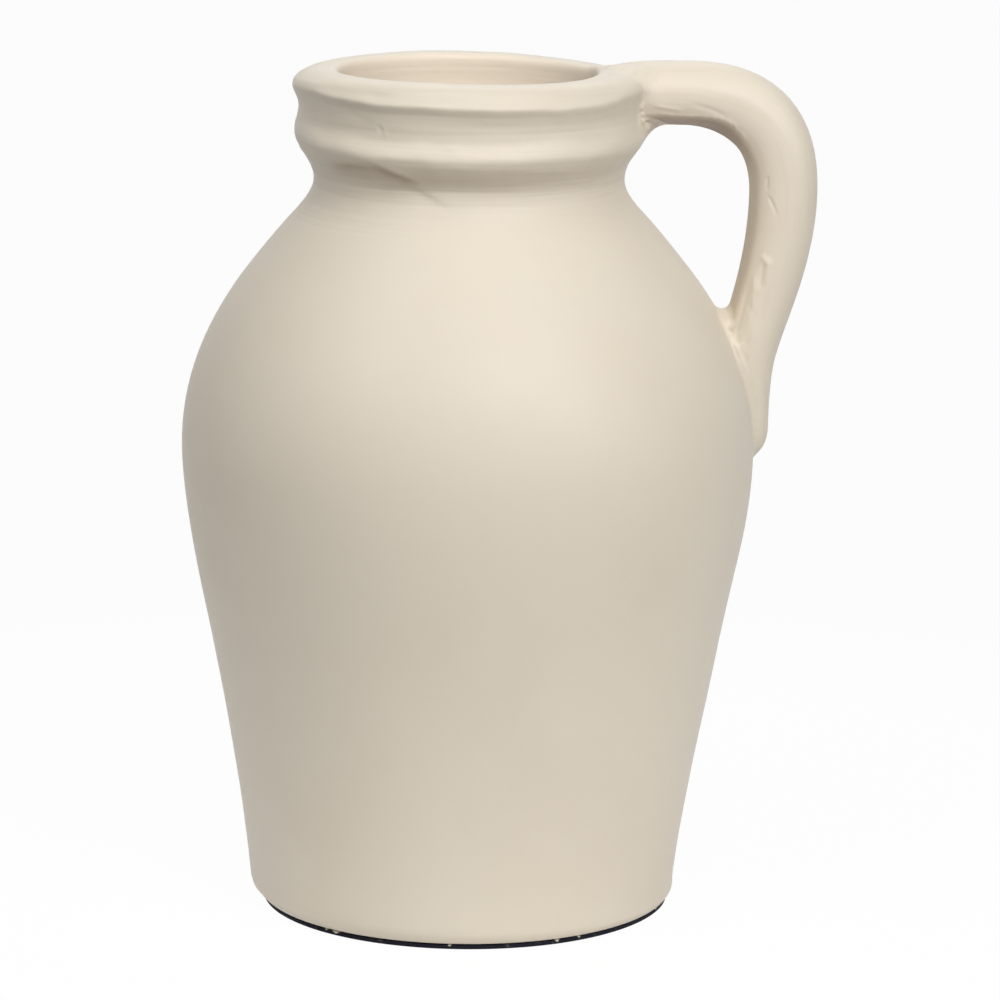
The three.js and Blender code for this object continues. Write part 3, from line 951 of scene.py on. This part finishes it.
def clay_strip(name, buried, free, reach_on_handle, reach_on_pot, bumps):
    """A closed ring of clay over the crease. For each crease point, one edge is a walk along the
    handle and the other a walk along the pot, square to the crease. Between them runs a hollow,
    plus the bumps. The ring closes under the surfaces."""
    turn = crease_turns(buried, free)
    way = surfacing_way(turn, buried, free)
    crease = handle_point(turn, way)
    angle, along = pot_place(crease)
    line = unit(np.roll(crease, -1, axis=0) - np.roll(crease, 1, axis=0))
    handle_normal = normal_of(handle_point, turn, way, HANDLE_RADIAN, -1)
    pot_normal = normal_of(pot_point, angle, along, POT_RADIAN, 1)
    off_pot = pointing(np.cross(handle_normal, line), pot_normal)
    off_handle = pointing(np.cross(pot_normal, line), handle_normal)
    degrees = np.abs(np.degrees(turn))
    a_reach = eased(degrees, *reach_on_handle)
    b_reach = eased(degrees, *reach_on_pot)
    a_turn, a_way = walk(handle_point, turn, way, HANDLE_RADIAN, off_pot, a_reach)
    b_angle, b_along = walk(pot_point, angle, along, POT_RADIAN, off_handle, b_reach)
    a_normal = normal_of(handle_point, a_turn, a_way, HANDLE_RADIAN, -1)
    b_normal = normal_of(pot_point, b_angle, b_along, POT_RADIAN, 1)
    a = handle_point(a_turn, a_way) + LIFT * a_normal
    b = pot_point(b_angle, b_along) + LIFT * b_normal
    leave = unit(-off_pot + dot(off_pot, a_normal) * a_normal)
    arrive = unit(off_handle - dot(off_handle, b_normal) * b_normal)
    v = STRIP_SHARES[:, None, None]
    face = unit((1 - v) * a_normal + v * b_normal)
    bumped = face * (np.sin(np.pi * v) ** 2 * bumps(turn, v[..., 0])[..., None])
    top = hollow_between(a, b, leave, arrive, a_reach, b_reach) + bumped
    under_pot = b - SINK * b_normal
    under_crease = crease - SINK * unit(handle_normal + pot_normal)
    under_handle = a - SINK * a_normal
    grid = np.concatenate([top, under_pot[None], under_crease[None], under_handle[None]])
    piece = mesh_of(name, grid.reshape(-1, 3), [ring_faces(len(grid), STRIP_COLUMNS, True)])
    finish_strip(piece)
    return piece


def finish_strip(piece):
    """Turns the faces out, leaves the hidden back flat, and prints what the strip measures."""
    if volume_of(piece) < 0:
        piece.data.flip_normals()
    flat = np.zeros(len(piece.data.polygons), bool)
    flat[(STRIP_ROWS - 1) * STRIP_COLUMNS:] = True
    piece.data.polygons.foreach_set("use_smooth", ~flat)
    piece.data.update()
    report(piece)


# %% Strokes of the thumb in both joints
UPPER_SMEARS = [  # turn, share of the way from handle to pot, half widths of both, and height
    (-104, 0.4, 6, 0.16, 0.5),
    (-119, 0.3, 4, 0.14, 0.8),
    (-128, 0.55, 5, 0.12, 0.8),
    (-137, 0.42, 3.5, 0.1, -1.0),
    (-146, 0.6, 5, 0.14, 0.8),
    (-160, 0.4, 6, 0.1, 0.4),
    (118, 0.4, 8, 0.15, 0.5),
    (136, 0.5, 4, 0.12, -0.7),
    (152, 0.55, 7, 0.12, 0.4),
]
LOWER_SMEARS = [
    (-128, 0.12, 7, 0.14, -0.8),
    (-118, 0.5, 9, 0.18, 0.6),
    (-140, 0.5, 5, 0.1, -0.8),
    (-103, 0.4, 7, 0.2, 0.45),
    (-152, 0.5, 6, 0.14, 0.5),
    (126, 0.4, 10, 0.2, 0.5),
    (150, 0.5, 7, 0.12, -0.6),
]


def smeared(turn, across, smears):
    """Dabs of clay and pits between them: hills of the turn and of the share across the strip."""
    return sum(height * hill(turned_by(turn, at), 0, wide) * hill(across, share, deep)
               for at, share, wide, deep, height in smears)


def upper_bumps(turn, across):
    """Uneven strokes of the thumb round the upper joint, in millimetres."""
    waves = 0.14 * np.sin(5 * turn + 2 * across) + 0.08 * np.sin(13 * turn - 3 * across + 1)
    return waves + smeared(turn, across, UPPER_SMEARS)


def lower_bumps(turn, across):
    """Uneven strokes round the lower joint."""
    waves = 0.12 * np.sin(7 * turn + 2 * across + 2) + 0.06 * np.sin(17 * turn + 1)
    return waves + smeared(turn, across, LOWER_SMEARS)


# %% Make both joints
UPPER_ON_HANDLE = ([0, 50, 85, 115, 150, 180], [10, 9, 2.6, 2.6, 6, 8])  # turn, reach from the crease
UPPER_ON_POT = ([0, 50, 85, 115, 150, 180], [3.5, 5, 2.0, 2.2, 7, 9])
LOWER_ON_HANDLE = ([0, 60, 120, 160, 180], [1.4, 2.2, 4.5, 7, 8])
LOWER_ON_POT = ([0, 60, 120, 160, 180], [1.2, 1.6, 2.6, 6.5, 8])

free_way = handle_joins[2]
upper_joint = clay_strip("upper_joint", 0, free_way, UPPER_ON_HANDLE, UPPER_ON_POT, upper_bumps)
lower_joint = clay_strip("lower_joint", handle_length, free_way, LOWER_ON_HANDLE, LOWER_ON_POT, lower_bumps)

# %% [markdown]
# ## The pad under the foot
#
# The pad is die-cut from dark foam and glued on. Its edge is what shows, so it is turned like the
# pot: a flat face that rests on the table, a straight cut edge, and a flat top. Here and there
# the paint ran down over the edge before it dried.

# %% Make the pad
PAD_COLUMNS = 1440
PAD_EDGE_ROUND = 0.1
PAD_SHIFT = 0.3  # it isn't glued on quite in the middle
PAD_CUT = 0.3  # the knife ran this far inside the drawn line
PAD_WAVE = 0.06
PAD_WANDER = (9, 31)  # waves round the pad, and the seed
PAINT_THICKNESS = 0.08
PAINTED_ABOVE = (1.02, 1.08)  # shares of the edge's height, less the run: bare below, painted above
EDGE_REACH = 2  # the outermost part of the pad, which the knife and the paint change
RUNS = [  # paint that ran over the pad's edge: angle, half width in degrees, and how far down it ran
    (-128.0, 0.9, 0.55), (-131.5, 0.4, 0.3), (-93.7, 0.35, 0.35), (-63.2, 0.45, 0.6), (-56.2, 0.35, 0.45),
    (-20.0, 0.5, 0.4), (64.0, 0.6, 0.5), (151.0, 0.8, 0.4), (-168.0, 0.4, 0.5),
]

pad_high = drawn_box("base_pad")[1]


def pad_outline():
    """Radius and height of the pad's outline, from the middle of its underside over the cut edge to
    the middle of its top. Both corners are rounded a little."""
    radius, top = pad_high[0], pad_high[2]
    return np.array([
        (0, 0), (radius * 0.5, 0), (radius - 1, 0), (radius - PAD_EDGE_ROUND, 0), (radius - 0.07, 0.07),
        (radius, PAD_EDGE_ROUND), (radius, top * 0.4), (radius, top * 0.6), (radius, top - 0.3),
        (radius - 0.03, top - 0.1), (radius - 0.1, top), (radius - 1.2, top), (radius * 0.5, top), (0, top),
    ])


def pad_grid():
    """The pad's outline turned about the axis, with an edge that wavers as a knife does, and the
    share of paint at each point, which runs down from the top of the edge."""
    outline = pad_outline()
    reach = outline[:, 0][:, None]
    height = outline[:, 1][:, None]
    angle = np.linspace(-np.pi, np.pi, PAD_COLUMNS, endpoint=False)
    at_edge = reach > pad_high[0] - EDGE_REACH
    run = sum(down * hill(turned_by(angle, at), 0, width) for at, width, down in RUNS)
    start, end = PAINTED_ABOVE
    painted = rise_between(height / pad_high[2], start - run, end - run) * at_edge
    cut = at_edge * (PAD_CUT + PAD_WAVE * wander(angle, *PAD_WANDER))
    reach = reach - cut + PAINT_THICKNESS * painted
    grid = np.broadcast_arrays(reach * np.cos(angle) + PAD_SHIFT, reach * np.sin(angle), height)
    return np.stack(grid, axis=-1), painted[..., None]


pad_points, pad_painted = pad_grid()
foam_pad = closed_by_poles("foam_pad", pad_points)
store(foam_pad, "painted", pad_painted)
report(foam_pad)

# %% [markdown]
# ## Paint over fired clay
#
# Terracotta is fired earthenware, open and matt. Here it is sprayed with a chalky cream paint, so
# the eye meets paint: a wide soft sheen, no sharp glints, and under it the marks of the wet clay.
# The marks could be an image, but noise does as well: stretched round the pot it gives the fine
# lines of the wheel and the brush, and stretched along the handle the strokes of the hand. The
# spray only reaches a little way down the inside, where bare clay begins in a cloud of dots.

# %% Helpers for materials
SMOOTH = {"interpolation_type": "SMOOTHSTEP"}  # a Map Range node that eases in and out
MULTIPLY = {"operation": "MULTIPLY"}
COLOURS = {"data_type": "RGBA"}
UNDER, OVER, MIXED = 6, 7, 2  # a Mix node's colour inputs and output, whose names aren't unique


def linear(hex_colour):
    """An sRGB hex colour as the linear numbers that a shader takes."""
    parts = np.array([int(hex_colour[i:i + 2], 16) for i in (1, 3, 5)]) / 255
    low = parts / 12.92
    high = ((parts + 0.055) / 1.055) ** 2.4
    return (*np.where(parts <= 0.04045, low, high), 1.0)


def add(tree, kind, settings, inputs):
    """Adds a node, sets its properties, and fills its inputs by name or number: an output socket
    is linked, and anything else is set as the input's value."""
    node = tree.nodes.new(kind)
    for name, value in settings.items():
        setattr(node, name, value)
    for name, value in inputs.items():
        if isinstance(value, bpy.types.NodeSocket):
            tree.links.new(value, node.inputs[name])
        else:
            node.inputs[name].default_value = value
    return node


def new_material(name):
    """An empty node material, its tree, and the socket that says where a point of the piece is."""
    material = bpy.data.materials.new(name)
    material.use_nodes = True
    tree = material.node_tree
    tree.nodes.clear()
    return material, tree, add(tree, "ShaderNodeTexCoord", {}, {}).outputs["Object"]


def pattern(tree, place, across, along, detail):
    """Noise whose patches measure across in X and Y and along in Z, in millimetres."""
    scale = (1 / (across * MM), 1 / (across * MM), 1 / (along * MM))
    stretched = add(tree, "ShaderNodeMapping", {}, {"Vector": place, "Scale": scale})
    return add(tree, "ShaderNodeTexNoise", {}, {
        "Vector": stretched.outputs["Vector"], "Scale": 1.0, "Detail": detail}).outputs["Fac"]


def relief(tree, layers):
    """Bumps on top of each other. A layer is a height, its depth in millimetres, and a strength."""
    below = {}
    for height, depth, strength in layers:
        bump = add(tree, "ShaderNodeBump", {}, {
            "Height": height, "Distance": depth * MM, "Strength": strength, **below})
        below = {"Normal": bump.outputs["Normal"]}
    return below["Normal"]


def coated(tree, colour, coats):
    """A colour under coats of paint, each with the share that it covers and its own colour."""
    for share, coat in coats:
        mix = add(tree, "ShaderNodeMix", COLOURS, {"Factor": share, UNDER: colour, OVER: linear(coat)})
        colour = mix.outputs[MIXED]
    return colour


# %% Colours and sizes of the paint
CREAM = "#dbd1c0"
THIN_CREAM = "#d7cbb8"  # where the spray is thin and the warm clay comes through
STREAK = "#bfb29c"  # where the brush dragged
LIGHTER_CREAM = "#ebdecb"  # lighter cream: painted light in the mouth, and a share of it on handle and joints
PAINTED_SHADE_BROWN = "#ac998a"  # painted shade: a brown that darkens the neck's creases and the handle's underside
SPECK = "#4d463c"
BARE_CLAY = "#b87850"
CLOUD, LUMP, DOT = 60.0, 7.0, 1.4  # millimetres: patches of thin spray, lumps of clay, dots of spray
GRAIN = 0.9  # the paint's real grain is finer, but wouldn't show
LUMP_DEPTH, GRAIN_DEPTH = 0.3, 0.03
LUMP_STRENGTH, LINE_STRENGTH, GRAIN_STRENGTH = 0.4, 0.6, 0.35
THIN_NOISE = (0.42, 0.68)  # the spray grows thin between these values of the noise
THIN_MOST = 0.4
DRAG_NOISE = (0.48, 0.72)
DRAG_MOST = 0.25
SPECKS = [(-28.4, -92.2, 103.6), (-0.6, -71.6, 240.4)]  # where dark specks sit, in millimetres
SPECK_RADII = (0.2, 0.6)  # a speck is whole up to the first and gone at the second
SPECK_MOST = 0.8
BARE_EDGE = (0.92, 1.08)  # the attribute plus the dots: clay shows above the second
GRAIN_NOISE = (0.3, 0.7)
ROUGHNESS = (0.44, 0.54)  # a matt paint, a little rougher where its grain stands up
SPECULAR = 0.42
CHALK = 0.06  # a chalky paint lightens a little where it is seen at a slant
CHALK_ROUGHNESS = 0.4
CHALK_TINT = (0.9, 0.95, 1.0, 1.0)
HOLLOW_STARTS = (255, 264)  # heights between which the neck's hollow begins to show lines
HOLLOW_LINES = (0.05, 0.95)  # their strength below and above
RIDGE_STARTS = (268, 276)
RIDGE_LINES = (1.0, 0.4)

# %% Painted terracotta


def lines_in_the_hollow(tree, place):
    """Strength of the wheel's lines on the pot: strong in the neck's hollow, weaker above it, and
    almost nothing below."""
    height = add(tree, "ShaderNodeSeparateXYZ", {}, {"Vector": place}).outputs["Z"]
    strengths = []
    for (start, end), (low, high) in ((HOLLOW_STARTS, HOLLOW_LINES), (RIDGE_STARTS, RIDGE_LINES)):
        strengths.append(add(tree, "ShaderNodeMapRange", SMOOTH, {
            "Value": height, "From Min": start * MM, "From Max": end * MM,
            "To Min": low, "To Max": high}).outputs["Result"])
    return add(tree, "ShaderNodeMath", MULTIPLY, {0: strengths[0], 1: strengths[1]}).outputs[0]


def specks(tree, place):
    """Coats for the dark specks: each is whole near its place and soon gone."""
    coats = []
    for speck in SPECKS:
        away = add(tree, "ShaderNodeVectorMath", {"operation": "DISTANCE"}, {
            0: place, 1: tuple(v * MM for v in speck)}).outputs["Value"]
        share = add(tree, "ShaderNodeMapRange", SMOOTH, {
            "Value": away, "From Min": SPECK_RADII[0] * MM, "From Max": SPECK_RADII[1] * MM,
            "To Min": SPECK_MOST, "To Max": 0.0}).outputs["Result"]
        coats.append((share, SPECK))
    return coats


def paint_colour(tree, place, lines, strength, lighter_share):
    """The paint's colour: cream, thin in clouds, dragged along the lines, lighter by the share given
    last, which on the pot is painted light in the mouth, darkened to brown by painted shade in the
    neck's creases and under the handle, and gone where bare says so."""
    cloud = pattern(tree, place, CLOUD, CLOUD, 3.0)
    thin = add(tree, "ShaderNodeMapRange", SMOOTH, {
        "Value": cloud, "From Min": THIN_NOISE[0], "From Max": THIN_NOISE[1], "To Max": THIN_MOST})
    drag = add(tree, "ShaderNodeMapRange", SMOOTH, {
        "Value": lines, "From Min": DRAG_NOISE[0], "From Max": DRAG_NOISE[1], "To Max": DRAG_MOST})
    dragged = add(tree, "ShaderNodeMath", MULTIPLY, {0: drag.outputs["Result"], 1: strength})
    # painted shade in the neck's creases and under the handle
    painted_shade = add(tree, "ShaderNodeAttribute", {"attribute_name": "painted_shade"}, {})
    bare = add(tree, "ShaderNodeAttribute", {"attribute_name": "bare"}, {})
    dots = pattern(tree, place, DOT, DOT, 4.0)
    edge = add(tree, "ShaderNodeMath", {"operation": "ADD"}, {0: bare.outputs["Fac"], 1: dots})
    clay = add(tree, "ShaderNodeMapRange", SMOOTH, {
        "Value": edge.outputs[0], "From Min": BARE_EDGE[0], "From Max": BARE_EDGE[1]})
    return coated(tree, linear(CREAM), [
        (thin.outputs["Result"], THIN_CREAM),
        (dragged.outputs[0], STREAK),
        (lighter_share, LIGHTER_CREAM),
        (painted_shade.outputs["Fac"], PAINTED_SHADE_BROWN),
        *specks(tree, place),
        (clay.outputs["Result"], BARE_CLAY),
    ])


def painted_terracotta(name, across, along, line_depth, straight=None, lighter_share=None):
    """Matt paint on fired clay. Lines of the wheel or of the hand are noise stretched to across and
    along, in millimetres, in the piece's own axes, or in those of the attribute straight. The last
    argument is the share of lighter cream. Without it, as on the pot, a point attribute gives that
    share, which is painted light in the mouth, and the lines keep to the neck's hollow."""
    material, tree, place = new_material(name)
    laid = place
    if straight is not None:
        laid = add(tree, "ShaderNodeAttribute", {"attribute_name": straight}, {}).outputs["Vector"]
    strength = LINE_STRENGTH
    # on the pot the share of lighter cream is painted light in the mouth
    if lighter_share is None:
        strength = lines_in_the_hollow(tree, place)
        lighter_share = add(tree, "ShaderNodeAttribute", {"attribute_name": "painted_light_in_mouth"}, {}).outputs["Fac"]
    lines = pattern(tree, laid, across, along, 3.0)
    lumps = pattern(tree, place, LUMP, LUMP, 2.0)
    grain = pattern(tree, place, GRAIN, GRAIN, 2.0)
    normal = relief(tree, [
        (lumps, LUMP_DEPTH, LUMP_STRENGTH),
        (lines, line_depth, strength),
        (grain, GRAIN_DEPTH, GRAIN_STRENGTH),
    ])
    rough = add(tree, "ShaderNodeMapRange", SMOOTH, {
        "Value": grain, "From Min": GRAIN_NOISE[0], "From Max": GRAIN_NOISE[1],
        "To Min": ROUGHNESS[0], "To Max": ROUGHNESS[1]})
    shader = add(tree, "ShaderNodeBsdfPrincipled", {}, {
        "Base Color": paint_colour(tree, place, lines, strength, lighter_share),
        "Roughness": rough.outputs["Result"], "Specular IOR Level": SPECULAR, "Normal": normal,
        "Sheen Weight": CHALK, "Sheen Roughness": CHALK_ROUGHNESS, "Sheen Tint": CHALK_TINT})
    add(tree, "ShaderNodeOutputMaterial", {}, {"Surface": shader.outputs["BSDF"]})
    return material


# handle and joints get a fixed share of lighter cream; on the pot it is painted light in the mouth
pot_paint = painted_terracotta("painted_terracotta_pot", 30.0, 0.8, 0.12)
handle_paint = painted_terracotta("painted_terracotta_handle", 2.2, 26.0, 0.16, "laid_straight", 0.22)
joint_paint = painted_terracotta("painted_terracotta_joint", 3.5, 2.5, 0.3, lighter_share=0.1)
for paint in (pot_paint, handle_paint, joint_paint):
    print(paint.name, len(paint.node_tree.nodes), "nodes")

# %% [markdown]
# ## Foam and glue
#
# The pad is closed-cell foam rubber. Its skin is dull and nearly black, and where the knife cut it
# the pores are open, so tiny pits show in the edge. They could be modelled, but cells of Voronoi
# noise under a bump are enough at this size. The glue is a thin film that dried to a dull skin. It
# hides between pad and foot, so it keeps its drawn shape and only gets a finish.

# %% Foam rubber
FOAM = "#1b1b25"  # black with a blue cast
FOAM_DUST = "#8d887f"
PORE = 0.5  # real pores are half as wide, but wouldn't show
PORE_DEPTH, PORE_STRENGTH = 0.15, 0.6
DUST_SIZE = (2.5, 0.8)  # dust lies in streaks round the edge
DUST_NOISE = (0.6, 0.75)
DUST_MOST = 0.25
FOAM_ROUGHNESS = 0.85
FOAM_SPECULAR = 0.15


def foam_rubber():
    """Closed-cell foam rubber, die-cut: dull, with the cut pores as pits, a little dust, and the
    cream paint where it ran over the edge."""
    material, tree, place = new_material("foam_rubber")
    pores = add(tree, "ShaderNodeTexVoronoi", {}, {"Vector": place, "Scale": 1 / (PORE * MM)})
    pitted = add(tree, "ShaderNodeBump", {}, {
        "Height": pores.outputs["Distance"], "Distance": PORE_DEPTH * MM, "Strength": PORE_STRENGTH})
    painted = add(tree, "ShaderNodeAttribute", {"attribute_name": "painted"}, {})
    dust = add(tree, "ShaderNodeMapRange", SMOOTH, {
        "Value": pattern(tree, place, *DUST_SIZE, 4.0),
        "From Min": DUST_NOISE[0], "From Max": DUST_NOISE[1], "To Max": DUST_MOST})
    colour = coated(tree, linear(FOAM), [
        (dust.outputs["Result"], FOAM_DUST),
        (painted.outputs["Fac"], CREAM),
    ])
    shader = add(tree, "ShaderNodeBsdfPrincipled", {}, {
        "Base Color": colour, "Roughness": FOAM_ROUGHNESS, "Specular IOR Level": FOAM_SPECULAR,
        "Normal": pitted.outputs["Normal"]})
    add(tree, "ShaderNodeOutputMaterial", {}, {"Surface": shader.outputs["BSDF"]})
    return material


foam = foam_rubber()
print(foam.name, len(foam.node_tree.nodes), "nodes")

# %% Dried glue
GLUE_LOW, GLUE_HIGH = "#a39b8b", "#c3bbab"
RIPPLE = 1.5
RIPPLE_DEPTH, RIPPLE_STRENGTH = 0.1, 0.6
GLUE_ROUGHNESS = 0.45


def dried_glue():
    """A rolled film of contact glue, dried to a dull skin with small ripples."""
    material, tree, place = new_material("dried_glue")
    ripples = pattern(tree, place, RIPPLE, RIPPLE, 2.0)
    colour = add(tree, "ShaderNodeMix", COLOURS, {
        "Factor": ripples, UNDER: linear(GLUE_LOW), OVER: linear(GLUE_HIGH)})
    rippled = add(tree, "ShaderNodeBump", {}, {
        "Height": ripples, "Distance": RIPPLE_DEPTH * MM, "Strength": RIPPLE_STRENGTH})
    shader = add(tree, "ShaderNodeBsdfPrincipled", {}, {
        "Base Color": colour.outputs[MIXED], "Roughness": GLUE_ROUGHNESS,
        "Normal": rippled.outputs["Normal"]})
    add(tree, "ShaderNodeOutputMaterial", {}, {"Surface": shader.outputs["BSDF"]})
    return material


film = dried_glue()
print(film.name, len(film.node_tree.nodes), "nodes")

# %% [markdown]
# ## Pieces in their places
#
# Each new piece stands in for one drawn part, and rides on the one body, because a jug has nothing
# that moves. Each gets its finish and is parented to an empty for that body, and the drawn part
# that it stands in for is hidden.

# %% Tie the pieces to the frame
DRESSED = [
    (thrown_pot, "vase_body", pot_paint, "painted_terracotta"),
    (pulled_handle, "handle", handle_paint, "painted_terracotta"),
    (upper_joint, "upper_joint_clay", joint_paint, "painted_terracotta"),
    (lower_joint, "lower_joint_clay", joint_paint, "painted_terracotta"),
    (foam_pad, "base_pad", foam, "pad_foam"),
]
for piece, node, finish, slot in DRESSED:
    piece.data.materials.append(finish)
    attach(piece, "root")
    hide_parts(node)
    print(piece.name, "stands in for", node)

glue_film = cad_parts["pad_adhesive"]
glue_film.data.materials.clear()
glue_film.data.materials.append(film)

# %% [markdown]
# ## Camera
#
# The camera stands in front of the jug and looks slightly down into its mouth. Its place could be
# tried out by hand, but an ellipse tells more: the rim and the pad are circles, and how flat each
# looks gives the angle from which it is seen. A long lens keeps the sides nearly straight.

# %% Make the camera
CAMERA_PLACE = (11.74, -1712.0, 497.3)  # millimetres
LOOKS_DOWN = 11.62  # degrees
ROLL = 0.53
LENS = 175.88
SENSOR_WIDTH = 36


def make_camera():
    """A camera that looks along Y, turned down and rolled a little."""
    down, roll = np.radians([LOOKS_DOWN, ROLL])
    forward = np.array([0, np.cos(down), -np.sin(down)])
    level = np.array([1.0, 0, 0])
    upright = np.cross(level, forward)
    right = level * np.cos(roll) + upright * np.sin(roll)
    up = upright * np.cos(roll) - level * np.sin(roll)
    data = bpy.data.cameras.new("camera")
    data.sensor_width = SENSOR_WIDTH
    data.lens = LENS
    camera = bpy.data.objects.new("camera", data)
    axes = Matrix(np.column_stack([right, up, -forward]).tolist())
    camera.matrix_world = Matrix.Translation(np.array(CAMERA_PLACE) * MM) @ axes.to_4x4()
    bpy.context.scene.collection.objects.link(camera)
    bpy.context.scene.camera = camera


make_camera()
print("camera", round(-CAMERA_PLACE[1] * MM, 2), "m away")

# %% [markdown]
# ## Light
#
# A cream pot on white needs soft light from many sides, or its shadows turn grey and its edges
# melt into the white. One big dome of light would be simple, but it flattens the neck. So soft
# boxes stand round the pot, strongest at the front. The white behind it is seen by the camera and
# in the paint's dull gloss, but throws hardly any light on the pot.

# %% Make the lamps
AIM = (0.0, 0.0, 0.15)
LAMP_DISTANCE = 1.7
LAMP_SIDE = 0.8
LAMPS = {  # direction and height in degrees, watts
    "front_right_box": (-60, 40, 11.4),
    "front_box": (-80, 40, 4.9),
    "front_left_box": (-130, 40, 6.9),
    "left_box": (-160, 32, 2.6),
    "low_right_box": (-35, 18, 7.0),
    "top_box": (-90, 80, 2.8),
    "top_left_box": (-150, 62, 1.9),
    "back_left_box": (150, 62, 0.9),
    "back_box": (90, 40, 3.7),
}


def make_lamp(name, direction, height, watts):
    """A soft box: a square of light that faces the middle of the pot."""
    data = bpy.data.lights.new(name, "AREA")
    data.shape = "SQUARE"
    data.size = LAMP_SIDE
    data.energy = watts
    around, up = np.radians([direction, height])
    away = Vector((np.cos(around) * np.cos(up), np.sin(around) * np.cos(up), np.sin(up)))
    lamp = bpy.data.objects.new(name, data)
    lamp.location = Vector(AIM) + LAMP_DISTANCE * away
    lamp.rotation_euler = (-away).to_track_quat("-Z", "Y").to_euler()
    bpy.context.scene.collection.objects.link(lamp)


for name, lamp in LAMPS.items():
    make_lamp(name, *lamp)
print(len(LAMPS), "lamps,", round(sum(watts for _, _, watts in LAMPS.values()), 1), "W together")

# %% White surroundings
WHITE = (1, 1, 1, 1)
WORLD_LIGHT = 0.01


def seen_directly(tree):
    """1 for rays that come from the camera, or by way of a mirror or glass, and 0 for light."""
    path = add(tree, "ShaderNodeLightPath", {}, {})
    both = add(tree, "ShaderNodeMath", {"operation": "MAXIMUM"}, {
        0: path.outputs["Is Camera Ray"], 1: path.outputs["Is Glossy Ray"]})
    return add(tree, "ShaderNodeMath", {"operation": "MAXIMUM"}, {
        0: both.outputs[0], 1: path.outputs["Is Transmission Ray"]}).outputs[0]


def make_world():
    """White where it is seen, and a weaker light on the object."""
    world = bpy.data.worlds.new("studio")
    bpy.context.scene.world = world
    world.use_nodes = True
    tree = world.node_tree
    tree.nodes.clear()
    light = add(tree, "ShaderNodeBackground", {}, {"Color": WHITE, "Strength": WORLD_LIGHT})
    seen = add(tree, "ShaderNodeBackground", {}, {"Color": WHITE, "Strength": 1.0})
    mix = add(tree, "ShaderNodeMixShader", {}, {
        0: seen_directly(tree), 1: light.outputs[0], 2: seen.outputs[0]})
    add(tree, "ShaderNodeOutputWorld", {}, {"Surface": mix.outputs[0]})


make_world()

# %% The floor
FLOOR_SIDE = 14.0
FLOOR_DROP = 0.05  # the floor lies this far under the pad, so that the two don't flicker
GLOW_SHARE = 0.97  # of what the camera sees of the floor; the rest takes the shadow
TABLE = (0.3, 0.5)  # a pale table top lies round the pot, whole up to the first distance from it
TABLE_WHITE = 0.9  # and from the second on a dim floor, which throws less light up at the pot
ROOM_GREY = 0.12


def make_floor():
    """A wide floor that glows almost white all over where it is seen, takes the shadow, and throws
    light up at the pot from the table top near it."""
    half = FLOOR_SIDE / 2
    drop = -FLOOR_DROP * MM
    mesh = bpy.data.meshes.new("floor")
    corners = [(-half, -half, drop), (half, -half, drop), (half, half, drop), (-half, half, drop)]
    mesh.from_pydata(corners, [], [(0, 1, 2, 3)])
    floor = bpy.data.objects.new("floor", mesh)
    bpy.context.scene.collection.objects.link(floor)
    material, tree, place = new_material("white_floor")
    away = add(tree, "ShaderNodeVectorMath", {"operation": "LENGTH"}, {0: place})
    white = add(tree, "ShaderNodeMapRange", SMOOTH, {
        "Value": away.outputs["Value"], "From Min": TABLE[0], "From Max": TABLE[1],
        "To Min": TABLE_WHITE, "To Max": ROOM_GREY})
    diffuse = add(tree, "ShaderNodeBsdfDiffuse", {}, {"Color": white.outputs["Result"]})
    glow = add(tree, "ShaderNodeEmission", {}, {"Color": WHITE, "Strength": 1.0})
    share = add(tree, "ShaderNodeMath", MULTIPLY, {0: seen_directly(tree), 1: GLOW_SHARE})
    mix = add(tree, "ShaderNodeMixShader", {}, {
        0: share.outputs[0], 1: diffuse.outputs[0], 2: glow.outputs[0]})
    add(tree, "ShaderNodeOutputMaterial", {}, {"Surface": mix.outputs[0]})
    mesh.materials.append(material)
    floor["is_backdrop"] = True


make_floor()
bpy.context.scene.view_settings.view_transform = "Standard"
print("floor", FLOOR_SIDE, "m wide")

# %% Print the drawn box and the seen box
seen_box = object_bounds()
for name, box in (("drawn", cad_box), ("seen", seen_box)):
    low, high = (np.array(corner) / MM for corner in box)
    print(name, "box from", low.round(2), "to", high.round(2), "mm")
